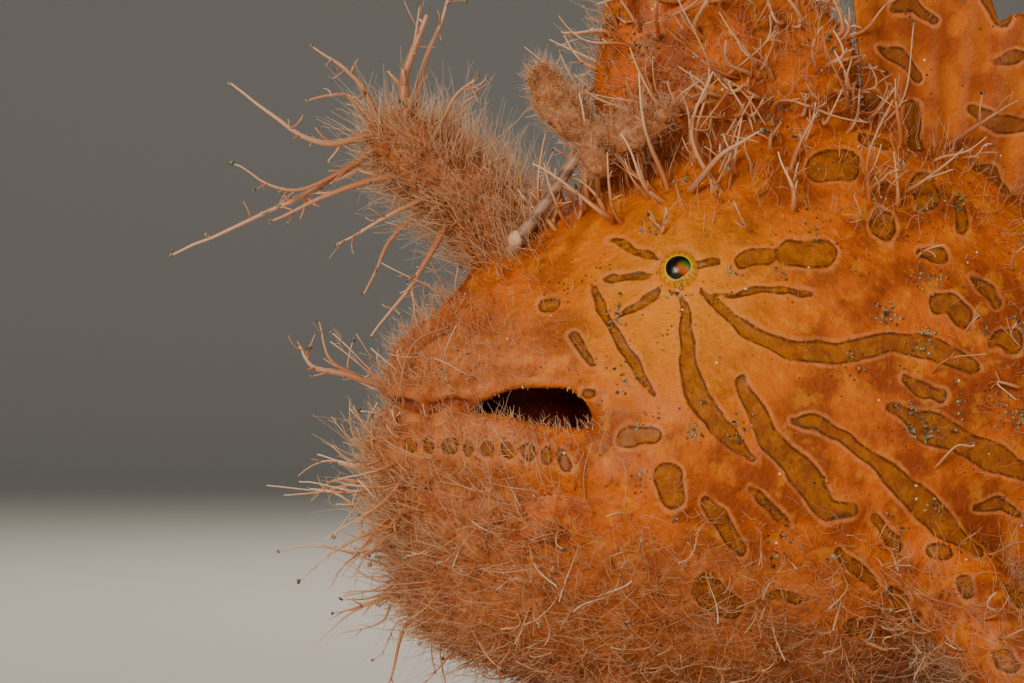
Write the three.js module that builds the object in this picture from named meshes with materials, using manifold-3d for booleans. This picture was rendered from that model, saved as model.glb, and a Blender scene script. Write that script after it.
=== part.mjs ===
// A hairy striated frogfish, life size, perched on its four leg-like fins with its mouth a little open.
// Millimetres, +Z up, head towards -X, the fish's left side towards -Y.
// Shapes are worked out with the snout at X = 0 and the floor at Z = 0, and the whole is centred at the end.
import * as THREE from "three";
import { mergeVertices } from "three/addons/utils/BufferGeometryUtils.js";
import Module from "manifold-3d";

const wasm = await Module();
wasm.setup();

// Driving dimensions
const STANDARD_LENGTH = 112; // snout to the root of the tail fin
const GAP = 0.3; // clear space between touching pieces
const SINK = 1.3; // how deep a root sits in what it grows from
const HAIR = 0.55; // root radius of an ordinary skin filament
const HAIR_TIP = 0.14;
const EYE = { x: 35.4, z: 62.4, radius: 2.75, showing: 1.15 };
const MOUTH = { corner: 25.2, core: [11.5, 9.5, 9], lipRadius: 1.6 };
const HEAD_END = { top: 52, bottom: 45 }; // the slanting cut behind the head
const TAIL_START = 95;
const EGG = 0.2; // how much the body narrows towards the back

// The body's outline: distance from the snout, height of back and belly, and half the width.
const STATIONS = [
  { x: 0, top: 43, bottom: 43, half: 0 },
  { x: 1, top: 49.5, bottom: 35, half: 7.5 },
  { x: 3, top: 54, bottom: 26.5, half: 11 },
  { x: 7, top: 60, bottom: 18.5, half: 15 },
  { x: 14, top: 66, bottom: 13.5, half: 18.3 },
  { x: 25, top: 72.5, bottom: 10, half: 21.2 },
  { x: 40, top: 79, bottom: 8.5, half: 22.8 },
  { x: 56, top: 81, bottom: 9.5, half: 21.4 },
  { x: 72, top: 76, bottom: 14.5, half: 17 },
  { x: 86, top: 64.5, bottom: 22.5, half: 11.5 },
  { x: 98, top: 53, bottom: 30, half: 6.8 },
  { x: 108, top: 47.5, bottom: 34, half: 4.2 },
  { x: STANDARD_LENGTH, top: 40.5, bottom: 40.5, half: 0 },
];

// Soft swellings and hollows of the skin: place, reach and push, the same on both sides.
const SWELLINGS = [
  { at: [4, 0, 22], reach: 9, push: [-2.2, 0, -1] }, // throat pouch
  { at: [1, 0, 39], reach: 7, push: [-1.8, 0, 0] }, // chin
  { at: [3, 0, 52], reach: 5, push: [-0.8, 0, 0] }, // upper jaw
  { at: [7, 0, 60], reach: 5, push: [1.4, 0, -0.4] }, // hollow under the forehead
  { at: [33, 20, 38], reach: 15, push: [0, 2.4, 0] }, // cheek
  { at: [26, 18, 44], reach: 4, push: [0, -1.4, 0] }, // fold at the corner of the mouth
  { at: [35, 14, 68], reach: 6, push: [0, 1.3, 0.8] }, // brow
  { at: [60, 16, 25], reach: 13, push: [0, 2, -0.6] }, // shoulder
];

const v = (x, y, z) => new THREE.Vector3(x, y, z);
const mix = THREE.MathUtils.lerp;

// A repeatable stream of numbers from 0 to 1, so that every build varies the filaments alike.
function stream(seed) {
  let state = seed;
  return () => {
    state = (state * 1664525 + 1013904223) >>> 0;
    return state / 4294967296;
  };
}

// How far round the length a station lies, spread as on a sphere so that blunt ends stay round.
const turnOf = (x) => Math.acos(1 - (2 * x) / STANDARD_LENGTH) / Math.PI;

// A smooth curve through the stations' values.
function outline(field, turn) {
  const knots = STATIONS.map((s) => turnOf(s.x));
  const values = STATIONS.map((s) => s[field]);
  const last = knots.length - 1;
  let i = 0;
  while (i < last - 1 && turn > knots[i + 1]) i++;
  const slope = (k) => {
    const a = Math.max(0, k - 1);
    const b = Math.min(last, k + 1);
    return (values[b] - values[a]) / (knots[b] - knots[a]);
  };
  const span = knots[i + 1] - knots[i];
  const t = (turn - knots[i]) / span;
  const eased = t * t * (3 - 2 * t);
  const start = values[i] + slope(i) * span * t * (1 - t) * (1 - t);
  return start + (values[i + 1] - values[i]) * eased - slope(i + 1) * span * t * t * (1 - t);
}

// The skin at a turn along the length and an angle round it, from 0 on the back to PI on the belly.
function skin(turn, angle, swell = 0) {
  const x = (STANDARD_LENGTH * (1 - Math.cos(Math.PI * turn))) / 2;
  const top = outline("top", turn);
  const bottom = outline("bottom", turn);
  const ends = Math.sin(Math.PI * turn) > 1e-6 ? swell : 0;
  const high = (top - bottom) / 2 + ends;
  const wide = outline("half", turn) + ends;
  const up = Math.cos(angle);
  const p = v(x, wide * Math.sin(angle) * (1 - EGG * up), (top + bottom) / 2 + high * up);
  const side = Math.tanh(p.y / 3);
  for (const { at, reach, push } of SWELLINGS) {
    const far = v(p.x - at[0], Math.abs(p.y) - at[1], p.z - at[2]).length() / reach;
    const lift = Math.exp(-far * far);
    p.add(v(push[0] * lift, push[1] * lift * side, push[2] * lift));
  }
  return p;
}

// A place on the skin with its outward direction. Angles below zero lie on the left side.
function place(x, angle) {
  const turn = turnOf(x);
  const step = 0.01;
  const along = skin(turn + step, angle).sub(skin(turn - step, angle));
  const round = skin(turn, angle + step).sub(skin(turn, angle - step));
  return { point: skin(turn, angle), out: along.cross(round).normalize() };
}

// The angle at which the skin reaches a height, on the side given by -1 or 1.
function angleAt(x, z, side) {
  let low = 0;
  let high = Math.PI;
  for (let i = 0; i < 30; i++) {
    const middle = (low + high) / 2;
    if (skin(turnOf(x), middle).z > z) low = middle;
    else high = middle;
  }
  return (side * (low + high)) / 2;
}

const backOf = (x) => skin(turnOf(x), 0).z;
const bellyOf = (x) => skin(turnOf(x), Math.PI).z;

// A closed solid from a geometry, with its faces turned outwards.
function solid(geometry) {
  const plain = new THREE.BufferGeometry();
  plain.setAttribute("position", geometry.getAttribute("position"));
  plain.setIndex(geometry.index);
  const merged = mergeVertices(plain, 1e-4);
  const corners = merged.index.array;
  const kept = [];
  for (let i = 0; i < corners.length; i += 3) {
    const [a, b, c] = corners.slice(i, i + 3);
    if (a !== b && b !== c && a !== c) kept.push([a, b, c]);
  }
  const build = (faces) =>
    new wasm.Manifold(
      new wasm.Mesh({
        numProp: 3,
        vertProperties: Float32Array.from(merged.attributes.position.array),
        triVerts: Uint32Array.from(faces.flat()),
      }),
    );
  const made = build(kept);
  return made.volume() > 0 ? made : build(kept.map(([a, b, c]) => [a, c, b]));
}

// Moves each vertex of a geometry to where a function of its place and texture coordinates says.
function reshape(geometry, move) {
  const position = geometry.getAttribute("position");
  const uv = geometry.getAttribute("uv");
  for (let i = 0; i < position.count; i++) {
    const p = v(position.getX(i), position.getY(i), position.getZ(i));
    const to = move(p, uv.getX(i), uv.getY(i));
    position.setXYZ(i, to.x, to.y, to.z);
  }
  return geometry;
}

const join = (solids) => solids.reduce((whole, s) => whole.add(s));
const largest = (s) => s.decompose().reduce((a, b) => (a.volume() > b.volume() ? a : b));

// The whole body as one closed skin, swollen outwards by a little where a cutter needs it.
function bodySolid(swell = 0, round = 24, along = 28) {
  const ball = new THREE.SphereGeometry(1, round, along);
  return solid(reshape(ball, (p, s, t) => skin(1 - t, 2 * Math.PI * s, swell)));
}

// A solid of one side-view outline, right across the fish.
function acrossSolid(points, reach = 40) {
  const shape = new THREE.Shape(points.map(([x, z]) => new THREE.Vector2(x, z)));
  const block = new THREE.ExtrudeGeometry(shape, { depth: 2 * reach, bevelEnabled: false });
  return solid(mergeVertices(block.rotateX(Math.PI / 2).translate(0, reach, 0)));
}

// A thin cut along a side-view line, as wide as the gap.
function cutSolid(points) {
  const back = points.map(([x, z], i) => {
    const [ax, az] = points[Math.max(0, i - 1)];
    const [bx, bz] = points[Math.min(points.length - 1, i + 1)];
    const length = Math.hypot(bx - ax, bz - az);
    return [x - (GAP * (bz - az)) / length, z + (GAP * (bx - ax)) / length];
  });
  return acrossSolid([...points, ...back.reverse()]);
}

// A tapered round limb, spine or filament: a cylinder bent along a curve, oval where squash isn't 1,
// its flat sides facing the way that face gives.
function limb(points, radii, sides, steps, squash = 1, face = v(0, 1, 0)) {
  const curve = new THREE.CatmullRomCurve3(points.map((p) => v(...p)));
  const frames = curve.computeFrenetFrames(steps);
  const rod = new THREE.CylinderGeometry(1, 1, 1, sides, steps);
  const shaped = reshape(rod, (p) => {
    const row = Math.round((p.y + 0.5) * steps);
    const t = row / steps;
    const slot = t * (radii.length - 1);
    const at = Math.min(radii.length - 2, Math.floor(slot));
    const radius = mix(radii[at], radii[at + 1], slot - at);
    const across = face.clone().cross(frames.tangents[row]).normalize();
    const side = across.clone().cross(frames.tangents[row]).normalize();
    const from = curve.getPoint(t);
    return from.addScaledVector(across, p.x * radius).addScaledVector(side, p.z * radius * squash);
  });
  return solid(shaped);
}

const ball = (radius, x, y, z, detail = 10) =>
  solid(new THREE.SphereGeometry(radius, detail, detail * 0.75).translate(x, y, z));

// A skin filament from a point, leaning and curling as it goes, with forks near its tip if asked.
function filament(root, out, length, lean, draw, { radius = HAIR, forks = 0 } = {}) {
  const curl = v(draw() - 0.5, draw() - 0.5, draw() - 0.5).multiplyScalar(length * 0.35);
  const at = (share, bend) =>
    root
      .clone()
      .addScaledVector(out, length * share)
      .addScaledVector(lean, length * bend)
      .addScaledVector(curl, share * share);
  const start = root.clone().addScaledVector(out, -SINK);
  const line = [start, root, at(0.4, 0.1), at(0.72, 0.32), at(0.92, 0.62)];
  const points = line.map((p) => p.toArray());
  const steps = length > 9 ? 4 : 2;
  const pieces = [limb(points, [radius * 1.15, radius * 0.7, HAIR_TIP], 3, steps)];
  for (let k = 0; k < forks; k++) {
    const side = v(draw() - 0.5, draw() - 0.5, draw() - 0.5).normalize();
    const tip = line[3].clone().addScaledVector(side, length * 0.3).addScaledVector(out, length * 0.1);
    const bend = line[3].clone().lerp(tip, 0.5).addScaledVector(out, length * 0.06);
    const twig = [line[2], bend, tip].map((p) => p.toArray());
    pieces.push(limb(twig, [radius * 0.55, radius * 0.45, HAIR_TIP], 3, 2));
  }
  return join(pieces);
}

// Filaments spread over a patch of the skin, more or less evenly, on both sides.
function coat({ from, to, high, low, count, length, lean, seed, forks = 0, radius = HAIR }) {
  const draw = stream(seed);
  const made = [];
  for (let i = 0; i < count; i++) {
    const side = i % 2 ? 1 : -1;
    const along = mix(from, to, (i * 0.618034 + draw() * 0.08) % 1);
    const share = (i + 0.5) / count;
    const angle = side * mix(high, low, (share * 3.31 + draw() * 0.05) % 1);
    const { point, out } = place(along, angle);
    const size = mix(length[0], length[1], draw());
    made.push(filament(point, out, size, v(...lean), draw, { forks, radius }));
  }
  return made;
}

// A fin: a thin curved sheet between a root line and a tip line, its rays raised on both faces.
// Both faces are split into triangles alike, and the rays' tips stand past the webs between them.
function fin({ root, middle, tip, rays, web = 0.75, ridge = 1.5, notch = 0.12, rows = 3 }) {
  const shoulders = [0, 0.34, 0.66];
  const columns = rays * shoulders.length;
  const shareOf = (i) => (Math.floor(i / 3) + shoulders[i % 3]) / rays;
  const sheet = (s, r) => {
    const a = root(s).lerp(middle(s), r);
    return a.lerp(middle(s).lerp(tip(s), r), r);
  };
  const face = (side) =>
    reshape(new THREE.PlaneGeometry(1, 1, columns, rows), (p, across, up) => {
      const i = Math.round(across * columns);
      const onRay = i % 3 !== 0;
      const s = shareOf(i);
      const r = up * (onRay ? 1 : 1 - notch * up);
      const d = 0.01;
      const along = sheet(s, Math.min(1, r + d)).sub(sheet(s, r - d));
      const spread = sheet(Math.min(1, s + d), r).sub(sheet(Math.max(0, s - d), r));
      const thick = onRay ? mix(ridge, web, up * 0.8) : web;
      return sheet(s, r).addScaledVector(along.cross(spread).normalize(), (side * thick) / 2);
    });
  const front = face(1);
  const back = face(-1);
  const count = front.getAttribute("position").count;
  const corners = [...front.index.array];
  const faces = [...corners];
  for (let i = 0; i < corners.length; i += 3)
    faces.push(corners[i] + count, corners[i + 2] + count, corners[i + 1] + count);
  const width = columns + 1;
  const rim = [];
  for (let i = 0; i < columns; i++) rim.push(i);
  for (let j = 0; j < rows; j++) rim.push(j * width + columns);
  for (let i = columns; i > 0; i--) rim.push(rows * width + i);
  for (let j = rows; j > 0; j--) rim.push(j * width);
  rim.forEach((a, k) => {
    const b = rim[(k + 1) % rim.length];
    faces.push(a, b, b + count, a, b + count, a + count);
  });
  const both = new THREE.BufferGeometry();
  const places = [...front.getAttribute("position").array, ...back.getAttribute("position").array];
  both.setAttribute("position", new THREE.Float32BufferAttribute(places, 3));
  both.setIndex(faces);
  return solid(both);
}

// The line through three points as a function of a share from 0 to 1.
const arc = (a, b, c) => {
  const curve = new THREE.QuadraticBezierCurve3(v(...a), v(...b), v(...c));
  return (s) => curve.getPoint(s);
};

// The same pieces on the fish's other side.
const mirrored = (points) => points.map(([x, y, z]) => [x, -y, z]);

const swollenBody = bodySolid(GAP);
const floorBlock = solid(new THREE.BoxGeometry(400, 200, 40).translate(50, 0, -20));

// Mouth: a side-view opening near its corner and a closed slit before it, right round the snout,
// stopped inside by the palate and tongue.
const MOUTH_TOP = [[-6, 46.3], [10, 46.2], [12.4, 46.6], [14.5, 47.7], [17, 48.5], [21.4, 48.5], [24, 47.2]];
const MOUTH_BOTTOM = [[-6, 45.8], [10, 45.7], [14.2, 45.1], [17.8, 44.3], [21.4, 43.5], [MOUTH.corner, 43.4]];
const mouthOpening = acrossSolid([
  ...MOUTH_TOP,
  [MOUTH.corner, 44.8],
  ...MOUTH_BOTTOM.toReversed(),
]).subtract(solid(new THREE.SphereGeometry(1, 12, 8).scale(...MOUTH.core).translate(15, 0, 46)));
const jawLine = cutSolid([
  [-8, 26], [2, 25.2], [9, 26.5], [17, 31], [22.4, 37.5], [MOUTH.corner - 0.3, 44.6],
]);
const tongueLine = cutSolid([[-8, 45.9], [10, 45.8], [17.8, 45], [MOUTH.corner, 44]]);
const headLine = cutSolid([[HEAD_END.bottom, -5], [HEAD_END.top, 100]]);
const tailLine = cutSolid([[TAIL_START, 0], [TAIL_START, 100]]);

// Eyes, and the ring of skin round each.
const eyePlace = (side) => {
  const { point, out } = place(EYE.x, angleAt(EYE.x, EYE.z, side));
  return { point, out, centre: point.clone().addScaledVector(out, EYE.showing - EYE.radius) };
};
function eyeRim(side) {
  const { point, out } = eyePlace(side);
  const ring = new THREE.TorusGeometry(EYE.radius * 0.93, 0.7, 6, 14);
  ring.applyQuaternion(new THREE.Quaternion().setFromUnitVectors(v(0, 0, 1), out));
  return solid(ring.translate(point.x, point.y, point.z));
}
const eyeBall = (side, more) => {
  const { x, y, z } = eyePlace(side).centre;
  return ball(EYE.radius + more, x, y, z);
};

// A short skin tube with a pit, for a nostril or a gill pore.
function pore(x, z, side, size) {
  const { point, out } = place(x, angleAt(x, z, side));
  const profile = [
    [0, -1], [1.25, -1], [1, 0.6], [0.85, 1], [0.55, 1], [0.5, 0.1], [0, 0.1],
  ].map(([r, h]) => new THREE.Vector2(r * size, h * size));
  const cup = new THREE.LatheGeometry(profile, 8);
  cup.applyQuaternion(new THREE.Quaternion().setFromUnitVectors(v(0, 1, 0), out));
  return solid(cup.translate(point.x, point.y, point.z));
}

// The height of a side-view line at a distance from the snout.
function heightOn(line, x) {
  const next = line.findIndex(([at]) => at > x);
  if (next < 0) return line.at(-1)[1];
  const [a, b] = [line[next - 1], line[next]];
  return mix(a[1], b[1], (x - a[0]) / (b[0] - a[0]));
}

// A lip: a soft roll above or below the mouth's edge, round the snout from corner to corner.
function lip(edge, rise, reach) {
  const radius = MOUTH.lipRadius;
  const front = 1.2;
  const half = 5;
  const points = [];
  for (let i = -half; i <= half; i++) {
    const share = i / half;
    const x = front + (reach - front) * share * share;
    const z = heightOn(edge, x) + rise;
    const { point, out } = place(x, angleAt(x, z, Math.sign(share) || 1));
    const at = i === 0 ? v(point.x - 0.6, 0, z) : point;
    points.push(at.addScaledVector(out, -radius * 0.35).toArray());
  }
  const radii = [0.5, 1, 1, 1, 0.5].map((share) => share * radius);
  return limb(points, radii, 6, 20, 1, v(0, 0, 1));
}

const nodes = new Map();
const colours = {
  flesh: new THREE.MeshStandardMaterial({ color: 0xc8763a, roughness: 0.6 }),
  pale: new THREE.MeshStandardMaterial({ color: 0xc08a5e, roughness: 0.65 }),
  fin: new THREE.MeshStandardMaterial({ color: 0xb9692f, roughness: 0.55 }),
  lure: new THREE.MeshStandardMaterial({ color: 0xc39468, roughness: 0.7 }),
  rod: new THREE.MeshStandardMaterial({ color: 0xb9a39c, roughness: 0.4 }),
  eye: new THREE.MeshStandardMaterial({ color: 0xd9a21c, roughness: 0.12, metalness: 0.2 }),
};

// Adds filaments to a node, leaving out any that would come nearer than the gap to another node.
function grow(name, filaments) {
  const others = [...nodes].filter(([n]) => n !== name).map(([, n]) => n.solid);
  const clear = filaments.filter((f) => {
    const box = f.boundingBox();
    return box.min[2] > 1.5 && others.every((o) => f.minGap(o, 1) > GAP);
  });
  const node = nodes.get(name);
  node.solid = largest(join([node.solid, ...clear]));
}
function add(name, made, colour) {
  nodes.set(name, { solid: largest(made), colour });
}

// Body, parted by thin cuts
function addBody() {
  const openings = join([mouthOpening, jawLine, tongueLine, headLine, tailLine]);
  const pieces = bodySolid().subtract(openings).decompose();
  const at = (piece) => piece.boundingBox();
  const find = (test) => pieces.filter(test).reduce((a, b) => (a.volume() > b.volume() ? a : b));
  const trunk = find((p) => at(p).min[0] > HEAD_END.bottom - 4 && at(p).min[0] < 90);
  const tail = find((p) => at(p).min[0] > 90);
  const jaw = find((p) => at(p).max[2] < 48 && at(p).max[0] < 30);
  const cranium = find((p) => at(p).max[0] < HEAD_END.top + 1 && at(p).max[2] > 60);
  const rims = join([eyeRim(-1), eyeRim(1)]);
  const sockets = join([eyeBall(-1, GAP), eyeBall(1, GAP)]);
  const nostrils = [-1, 1].flatMap((side) => [pore(9.5, 57.5, side, 0.9), pore(14, 60.5, side, 0.8)]);
  const open = (s) => s.subtract(mouthOpening).subtract(jawLine).subtract(tongueLine);
  const upperLip = lip(MOUTH_TOP, 1.2, 23.6);
  const head = open(join([cranium, upperLip, rims, ...nostrils])).subtract(sockets);
  const gills = [-1, 1].map((side) => pore(71, 22, side, 1.1));
  add("head", head, "flesh");
  add("lower_jaw", open(jaw.add(lip(MOUTH_BOTTOM, -1.3, 23.4))), "pale");
  add("trunk", join([trunk, ...gills]), "flesh");
  add("tail_stalk", tail, "flesh");
  add("eye_left", eyeBall(-1, 0), "eye");
  add("eye_right", eyeBall(1, 0), "eye");
}

// Third dorsal spine: a broad fleshy sail standing straight up behind the lure.
const SAIL_FLATNESS = 0.37;
const SAIL = [[42.5, 0, 71], [42.3, 0, 83], [42, 0, 94], [45, 0, 104.5]];
const SAIL_RADII = [17.5, 16.8, 16.2, 13.8, 1.8];
const SAIL_ROOM = GAP / SAIL_FLATNESS;
const swollenSail = () => limb(SAIL, SAIL_RADII.map((r) => r + SAIL_ROOM), 12, 6, SAIL_FLATNESS);
function addThirdSpine() {
  const sail = limb(SAIL, SAIL_RADII, 12, 6, SAIL_FLATNESS);
  const above = solid(new THREE.BoxGeometry(80, 40, 80).translate(40, 0, 110));
  add("third_dorsal_spine", sail.subtract(swollenBody).intersect(above), "flesh");
}

// Second dorsal spine: a stout hairy stalk leaning over the snout, ending in long branched tassels.
const STALK = [[19, 0, 60], [15, 0, 66.5], [8.5, 0, 73], [2.5, 0, 77.5], [-1.5, 0, 80.5]];
const TASSELS = [
  { from: [4, -1, 76], to: [5, -1.5, 94], bend: [2.2, -1, 85], radius: 1.9, fork: [9.5, -2, 88] },
  { from: [3, 1.5, 77], to: [8, 3, 97], bend: [4.5, 2.5, 88], radius: 1.1 },
  { from: [-0.5, -1, 80], to: [-9, -3, 90], bend: [-3.5, -1.5, 86], radius: 0.9, fork: [-7.5, -4, 84.5] },
  { from: [-1, 1.4, 80], to: [-10, 5, 84], bend: [-5, 3, 84.5], radius: 0.8 },
  { from: [-1, -1, 79.5], to: [-19, -3, 85.5], bend: [-9, -2, 78.5], radius: 1.05 },
  { from: [0, -0.5, 78.5], to: [-26.5, 0, 64.5], bend: [-10, -1, 72], radius: 1.2, fork: [-19, -3, 75.5] },
  { from: [3.5, -2, 74.5], to: [-14, -5, 68.5], bend: [-4, -3, 73], radius: 1.35 },
  { from: [6, -2.5, 72], to: [-6, -5, 65.5], bend: [1, -4.5, 69.5], radius: 0.85 },
  { from: [8, -2.5, 69], to: [-1.5, -6, 54.5], bend: [4, -5.5, 62], radius: 0.95 },
  { from: [3, 2.5, 75], to: [-12, 9, 72], bend: [-3, 6, 75.5], radius: 1 },
  { from: [7, 3, 71.5], to: [-3, 9.5, 60], bend: [1, 7, 67.5], radius: 0.95 },
  { from: [5, -2.5, 77], to: [11.5, -5, 86], bend: [8.5, -4, 83.5], radius: 0.8 },
  { from: [6, 2.5, 76.5], to: [11, 6.5, 85], bend: [8.5, 5, 82.5], radius: 0.8 },
];
function addSecondSpine() {
  const stalk = limb(STALK, [7, 5.6, 4.6, 4.2, 2], 10, 5, 0.9);
  const pieces = [stalk];
  for (const { from, to, bend, radius, fork } of TASSELS) {
    pieces.push(limb([from, bend, to], [radius, radius * 0.75, 0.3], 4, 5));
    if (fork) pieces.push(limb([bend, fork], [radius * 0.5, 0.25], 4, 1));
  }
  const draw = stream(71);
  const curve = new THREE.CatmullRomCurve3(STALK.map((p) => v(...p)));
  for (let i = 0; i < 14; i++) {
    const share = mix(0.32, 0.95, (i * 0.618034) % 1);
    const angle = i * 1.9;
    const along = curve.getTangent(share);
    const across = v(0, 1, 0).cross(along).normalize();
    const out = across.multiplyScalar(Math.cos(angle)).add(v(0, Math.sin(angle), 0)).normalize();
    const root = curve.getPoint(share).addScaledVector(out, mix(4.6, 3, share));
    const size = mix(3.5, 7, draw());
    pieces.push(filament(root, out, size, along.multiplyScalar(0.7), draw, { radius: 0.5 }));
  }
  add("second_dorsal_spine", join(pieces).subtract(swollenBody), "pale");
}

// The first dorsal spine is the fishing rod, laid back along the head with its worm-like lure.
const ROD = { root: [16.3, -7.2, 66], tip: [24.2, -9.2, 77.2], radius: 0.8 };
function addRodAndLure() {
  const { root, tip, radius } = ROD;
  const line = [[root[0] - 1, root[1] + 1.4, root[2] - 2.4], root, tip];
  const rod = limb(line, [radius * 1.25, radius, radius * 0.8], 6, 3);
  const knob = ball(1.35, root[0] - 0.2, root[1] - 0.4, root[2] + 0.3, 8);
  const knot = [24.9, -9.5, 78.2];
  const lobes = [
    limb([knot, [22.4, -9.6, 81], [20, -9.2, 84.5], [18.6, -8.8, 88]], [1.7, 2.6, 2.8, 2.4, 1], 8, 6),
    limb([knot, [28, -11, 78.4], [31.2, -12, 79.6], [35, -12, 82.4]], [1.8, 2.4, 2.6, 2.2, 1], 8, 6),
    limb([knot, [25.5, -11.4, 75.6], [26, -12.6, 73.5]], [1.7, 2.1, 1.5, 0.8], 8, 4),
    ball(2.2, ...knot, 8),
  ];
  const lure = join(lobes);
  const clear = ball(2.2 + GAP, ...knot, 8);
  const clearances = join([swollenBody, swollen(nodes.get("second_dorsal_spine").solid)]);
  add("illicium", rod.add(knob).subtract(clear).subtract(clearances), "rod");
  const sail = swollen(nodes.get("third_dorsal_spine").solid);
  add("esca", lure.subtract(sail).subtract(swollenBody), "lure");
}

// A copy moved about by the gap in each direction and joined, as a cutter that leaves a clear space.
function swollen(s) {
  const moves = [[GAP, 0, 0], [-GAP, 0, 0], [0, GAP, 0], [0, -GAP, 0], [0, 0, GAP], [0, 0, -GAP]];
  return join(moves.map((m) => s.translate(m)));
}

// Soft dorsal, anal and tail fins, on the middle line
function addMedianFins() {
  const at = (x, sink) => v(x, 0, backOf(x) - sink);
  const lean = (s) => -3.6 * (1 - s) ** 4;
  const dorsal = fin({
    root: (s) => at(mix(59.8, 101, s), 2),
    middle: (s) => at(mix(57.6, 106, s), 0).add(v(0, lean(s) + 0.8 * Math.sin(9 * s), mix(12, 6, s))),
    tip: (s) => {
      const rise = mix(20, 12, s) + 5 * Math.sin(Math.PI * s);
      return at(mix(57.2, 110, s), 0).add(v(mix(0, 5, s), lean(s) + 1.6 * Math.sin(9 * s), rise));
    },
    rays: 10,
    ridge: 1.9,
  });
  add("dorsal_fin", largest(dorsal.subtract(swollenBody).subtract(swollenSail())), "fin");
  const anal = fin({
    root: (s) => v(mix(79, 97, s), 0, bellyOf(mix(79, 97, s)) + 2),
    middle: (s) => v(mix(85, 104, s), 1 * Math.sin(4 * s), mix(11, 22, s)),
    tip: (s) => v(mix(88, 109, s), -1 * Math.sin(4 * s), mix(3.5, 17, s * s)),
    rays: 6,
    ridge: 1.8,
  });
  add("anal_fin", anal.subtract(swollenBody), "fin");
  const tail = fin({
    root: (s) => v(109.5, 0, mix(36.6, 44.6, s)),
    middle: (s) => v(122, -1.5, mix(29, 52, s)),
    tip: (s) => v(131 + 8.5 * Math.sin(Math.PI * s), -6, mix(21, 60, s)),
    rays: 9,
    ridge: 2,
    notch: 0.1,
    rows: 4,
  });
  add("caudal_fin", tail.subtract(swollenBody), "fin");
}

// Each pectoral fin is an arm with an elbow and a hand of rays spread on the floor.
const ARM = [[62, -13, 27], [68, -21, 24], [74, -26, 17], [77, -27.5, 10.5]];
function addPectoral(name, side) {
  const flip = (points) => (side < 0 ? points : mirrored(points));
  const arm = limb(flip(ARM), [8, 6.4, 5.2, 4.4], 12, 5, 0.8);
  const [root, middle, tip] = [
    [[73.4, -25.6, 11], [77, -27.2, 9.2], [80.4, -26.2, 11.2]],
    [[68, -31, 7], [77, -37, 6], [89, -31, 8]],
    [[63, -35, -0.1], [78, -49, -0.1], [96, -33, -0.1]],
  ].map((line) => arc(...flip(line)));
  const hand = fin({ root, middle, tip, rays: 8, ridge: 1.7, web: 0.9, notch: 0.16 });
  const wrist = limb(flip(ARM), [8.4, 6.8, 5.6, 4.8], 12, 5, 0.84);
  add("pectoral_arm_" + name, arm.subtract(swollenBody), "flesh");
  add("pectoral_fin_" + name, hand.subtract(floorBlock).subtract(wrist), "fin");
}

// Each pelvic fin is a short foot under the throat, its rays spread forwards.
function addPelvic(name, side) {
  const flip = (points) => (side < 0 ? points : mirrored(points));
  const foot = limb(flip([[31, -7.5, 13], [27.5, -10, 9], [24, -12, 6]]), [5.4, 4.6, 3.6], 10, 3, 0.9);
  const [root, middle, tip] = [
    [[23.5, -10.5, 7], [23, -13.5, 6], [26, -14.6, 6.6]],
    [[16, -12, 4], [16, -20, 4.5], [25, -22, 4]],
    [[8, -12, -0.1], [10, -27, -0.1], [25, -28.5, -0.1]],
  ].map((line) => arc(...flip(line)));
  const toes = fin({ root, middle, tip, rays: 5, ridge: 1.9, web: 1, notch: 0.22 });
  const whole = join([foot, toes]).subtract(floorBlock).subtract(swollenBody);
  add("pelvic_fin_" + name, whole, "fin");
}

// The coat by region: distances from the snout, angles round the body from the back, how many
// filaments, their lengths, the way they lean, and forks and thickness where they are long.
const COAT = [
  { node: "lower_jaw", from: 1.2, to: 7, high: 1.9, low: 2.9, count: 10, length: [8, 13],
    lean: [-0.5, 0, -0.55], forks: 2, radius: 0.7 },
  { node: "lower_jaw", from: 2, to: 20, high: 1.62, low: 2.2, count: 6, length: [3, 5],
    lean: [-0.1, 0, -0.5] },
  { node: "head", from: 3.5, to: 44, high: 2.25, low: 3, count: 22, length: [4, 7.5],
    lean: [-0.15, 0, -0.5] },
  { node: "head", from: 22, to: 46, high: 0.35, low: 0.95, count: 14, length: [4.5, 9],
    lean: [0.15, 0, 0.5], forks: 1, radius: 0.6 },
  { node: "head", from: 8, to: 44, high: 1.1, low: 2.2, count: 6, length: [3, 5],
    lean: [0.3, 0, -0.3] },
  { node: "trunk", from: 54, to: 92, high: 2, low: 2.95, count: 18, length: [4.5, 8],
    lean: [0.35, 0, -0.5] },
  { node: "trunk", from: 54, to: 92, high: 0.35, low: 1.9, count: 12, length: [4, 9],
    lean: [0.5, 0, 0.25], forks: 1 },
  { node: "tail_stalk", from: 97, to: 106, high: 0.3, low: 2.9, count: 4, length: [3, 5],
    lean: [0.6, 0, 0] },
];

// Long branched filaments on the snout: distance from its front, height, side and length.
const SNOUT_CIRRI = [[2.2, 48.5, -1, 13], [4, 50, -1, 9], [6, 55, 1, 10], [3.5, 48.5, 1, 11]];

function addCoat() {
  const draw = stream(5);
  const snout = SNOUT_CIRRI.map(([x, z, side, length]) => {
    const { point, out } = place(x, angleAt(x, z, side));
    const ahead = out.lerp(v(-1, 0, 0.25), 0.6).normalize();
    return filament(point, ahead, length, v(-0.3, 0, 0.5), draw, { forks: 2, radius: 0.75 });
  });
  grow("head", snout);
  COAT.forEach((patch, i) => grow(patch.node, coat({ ...patch, seed: 11 + i })));
  addSailCoat();
}

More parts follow.
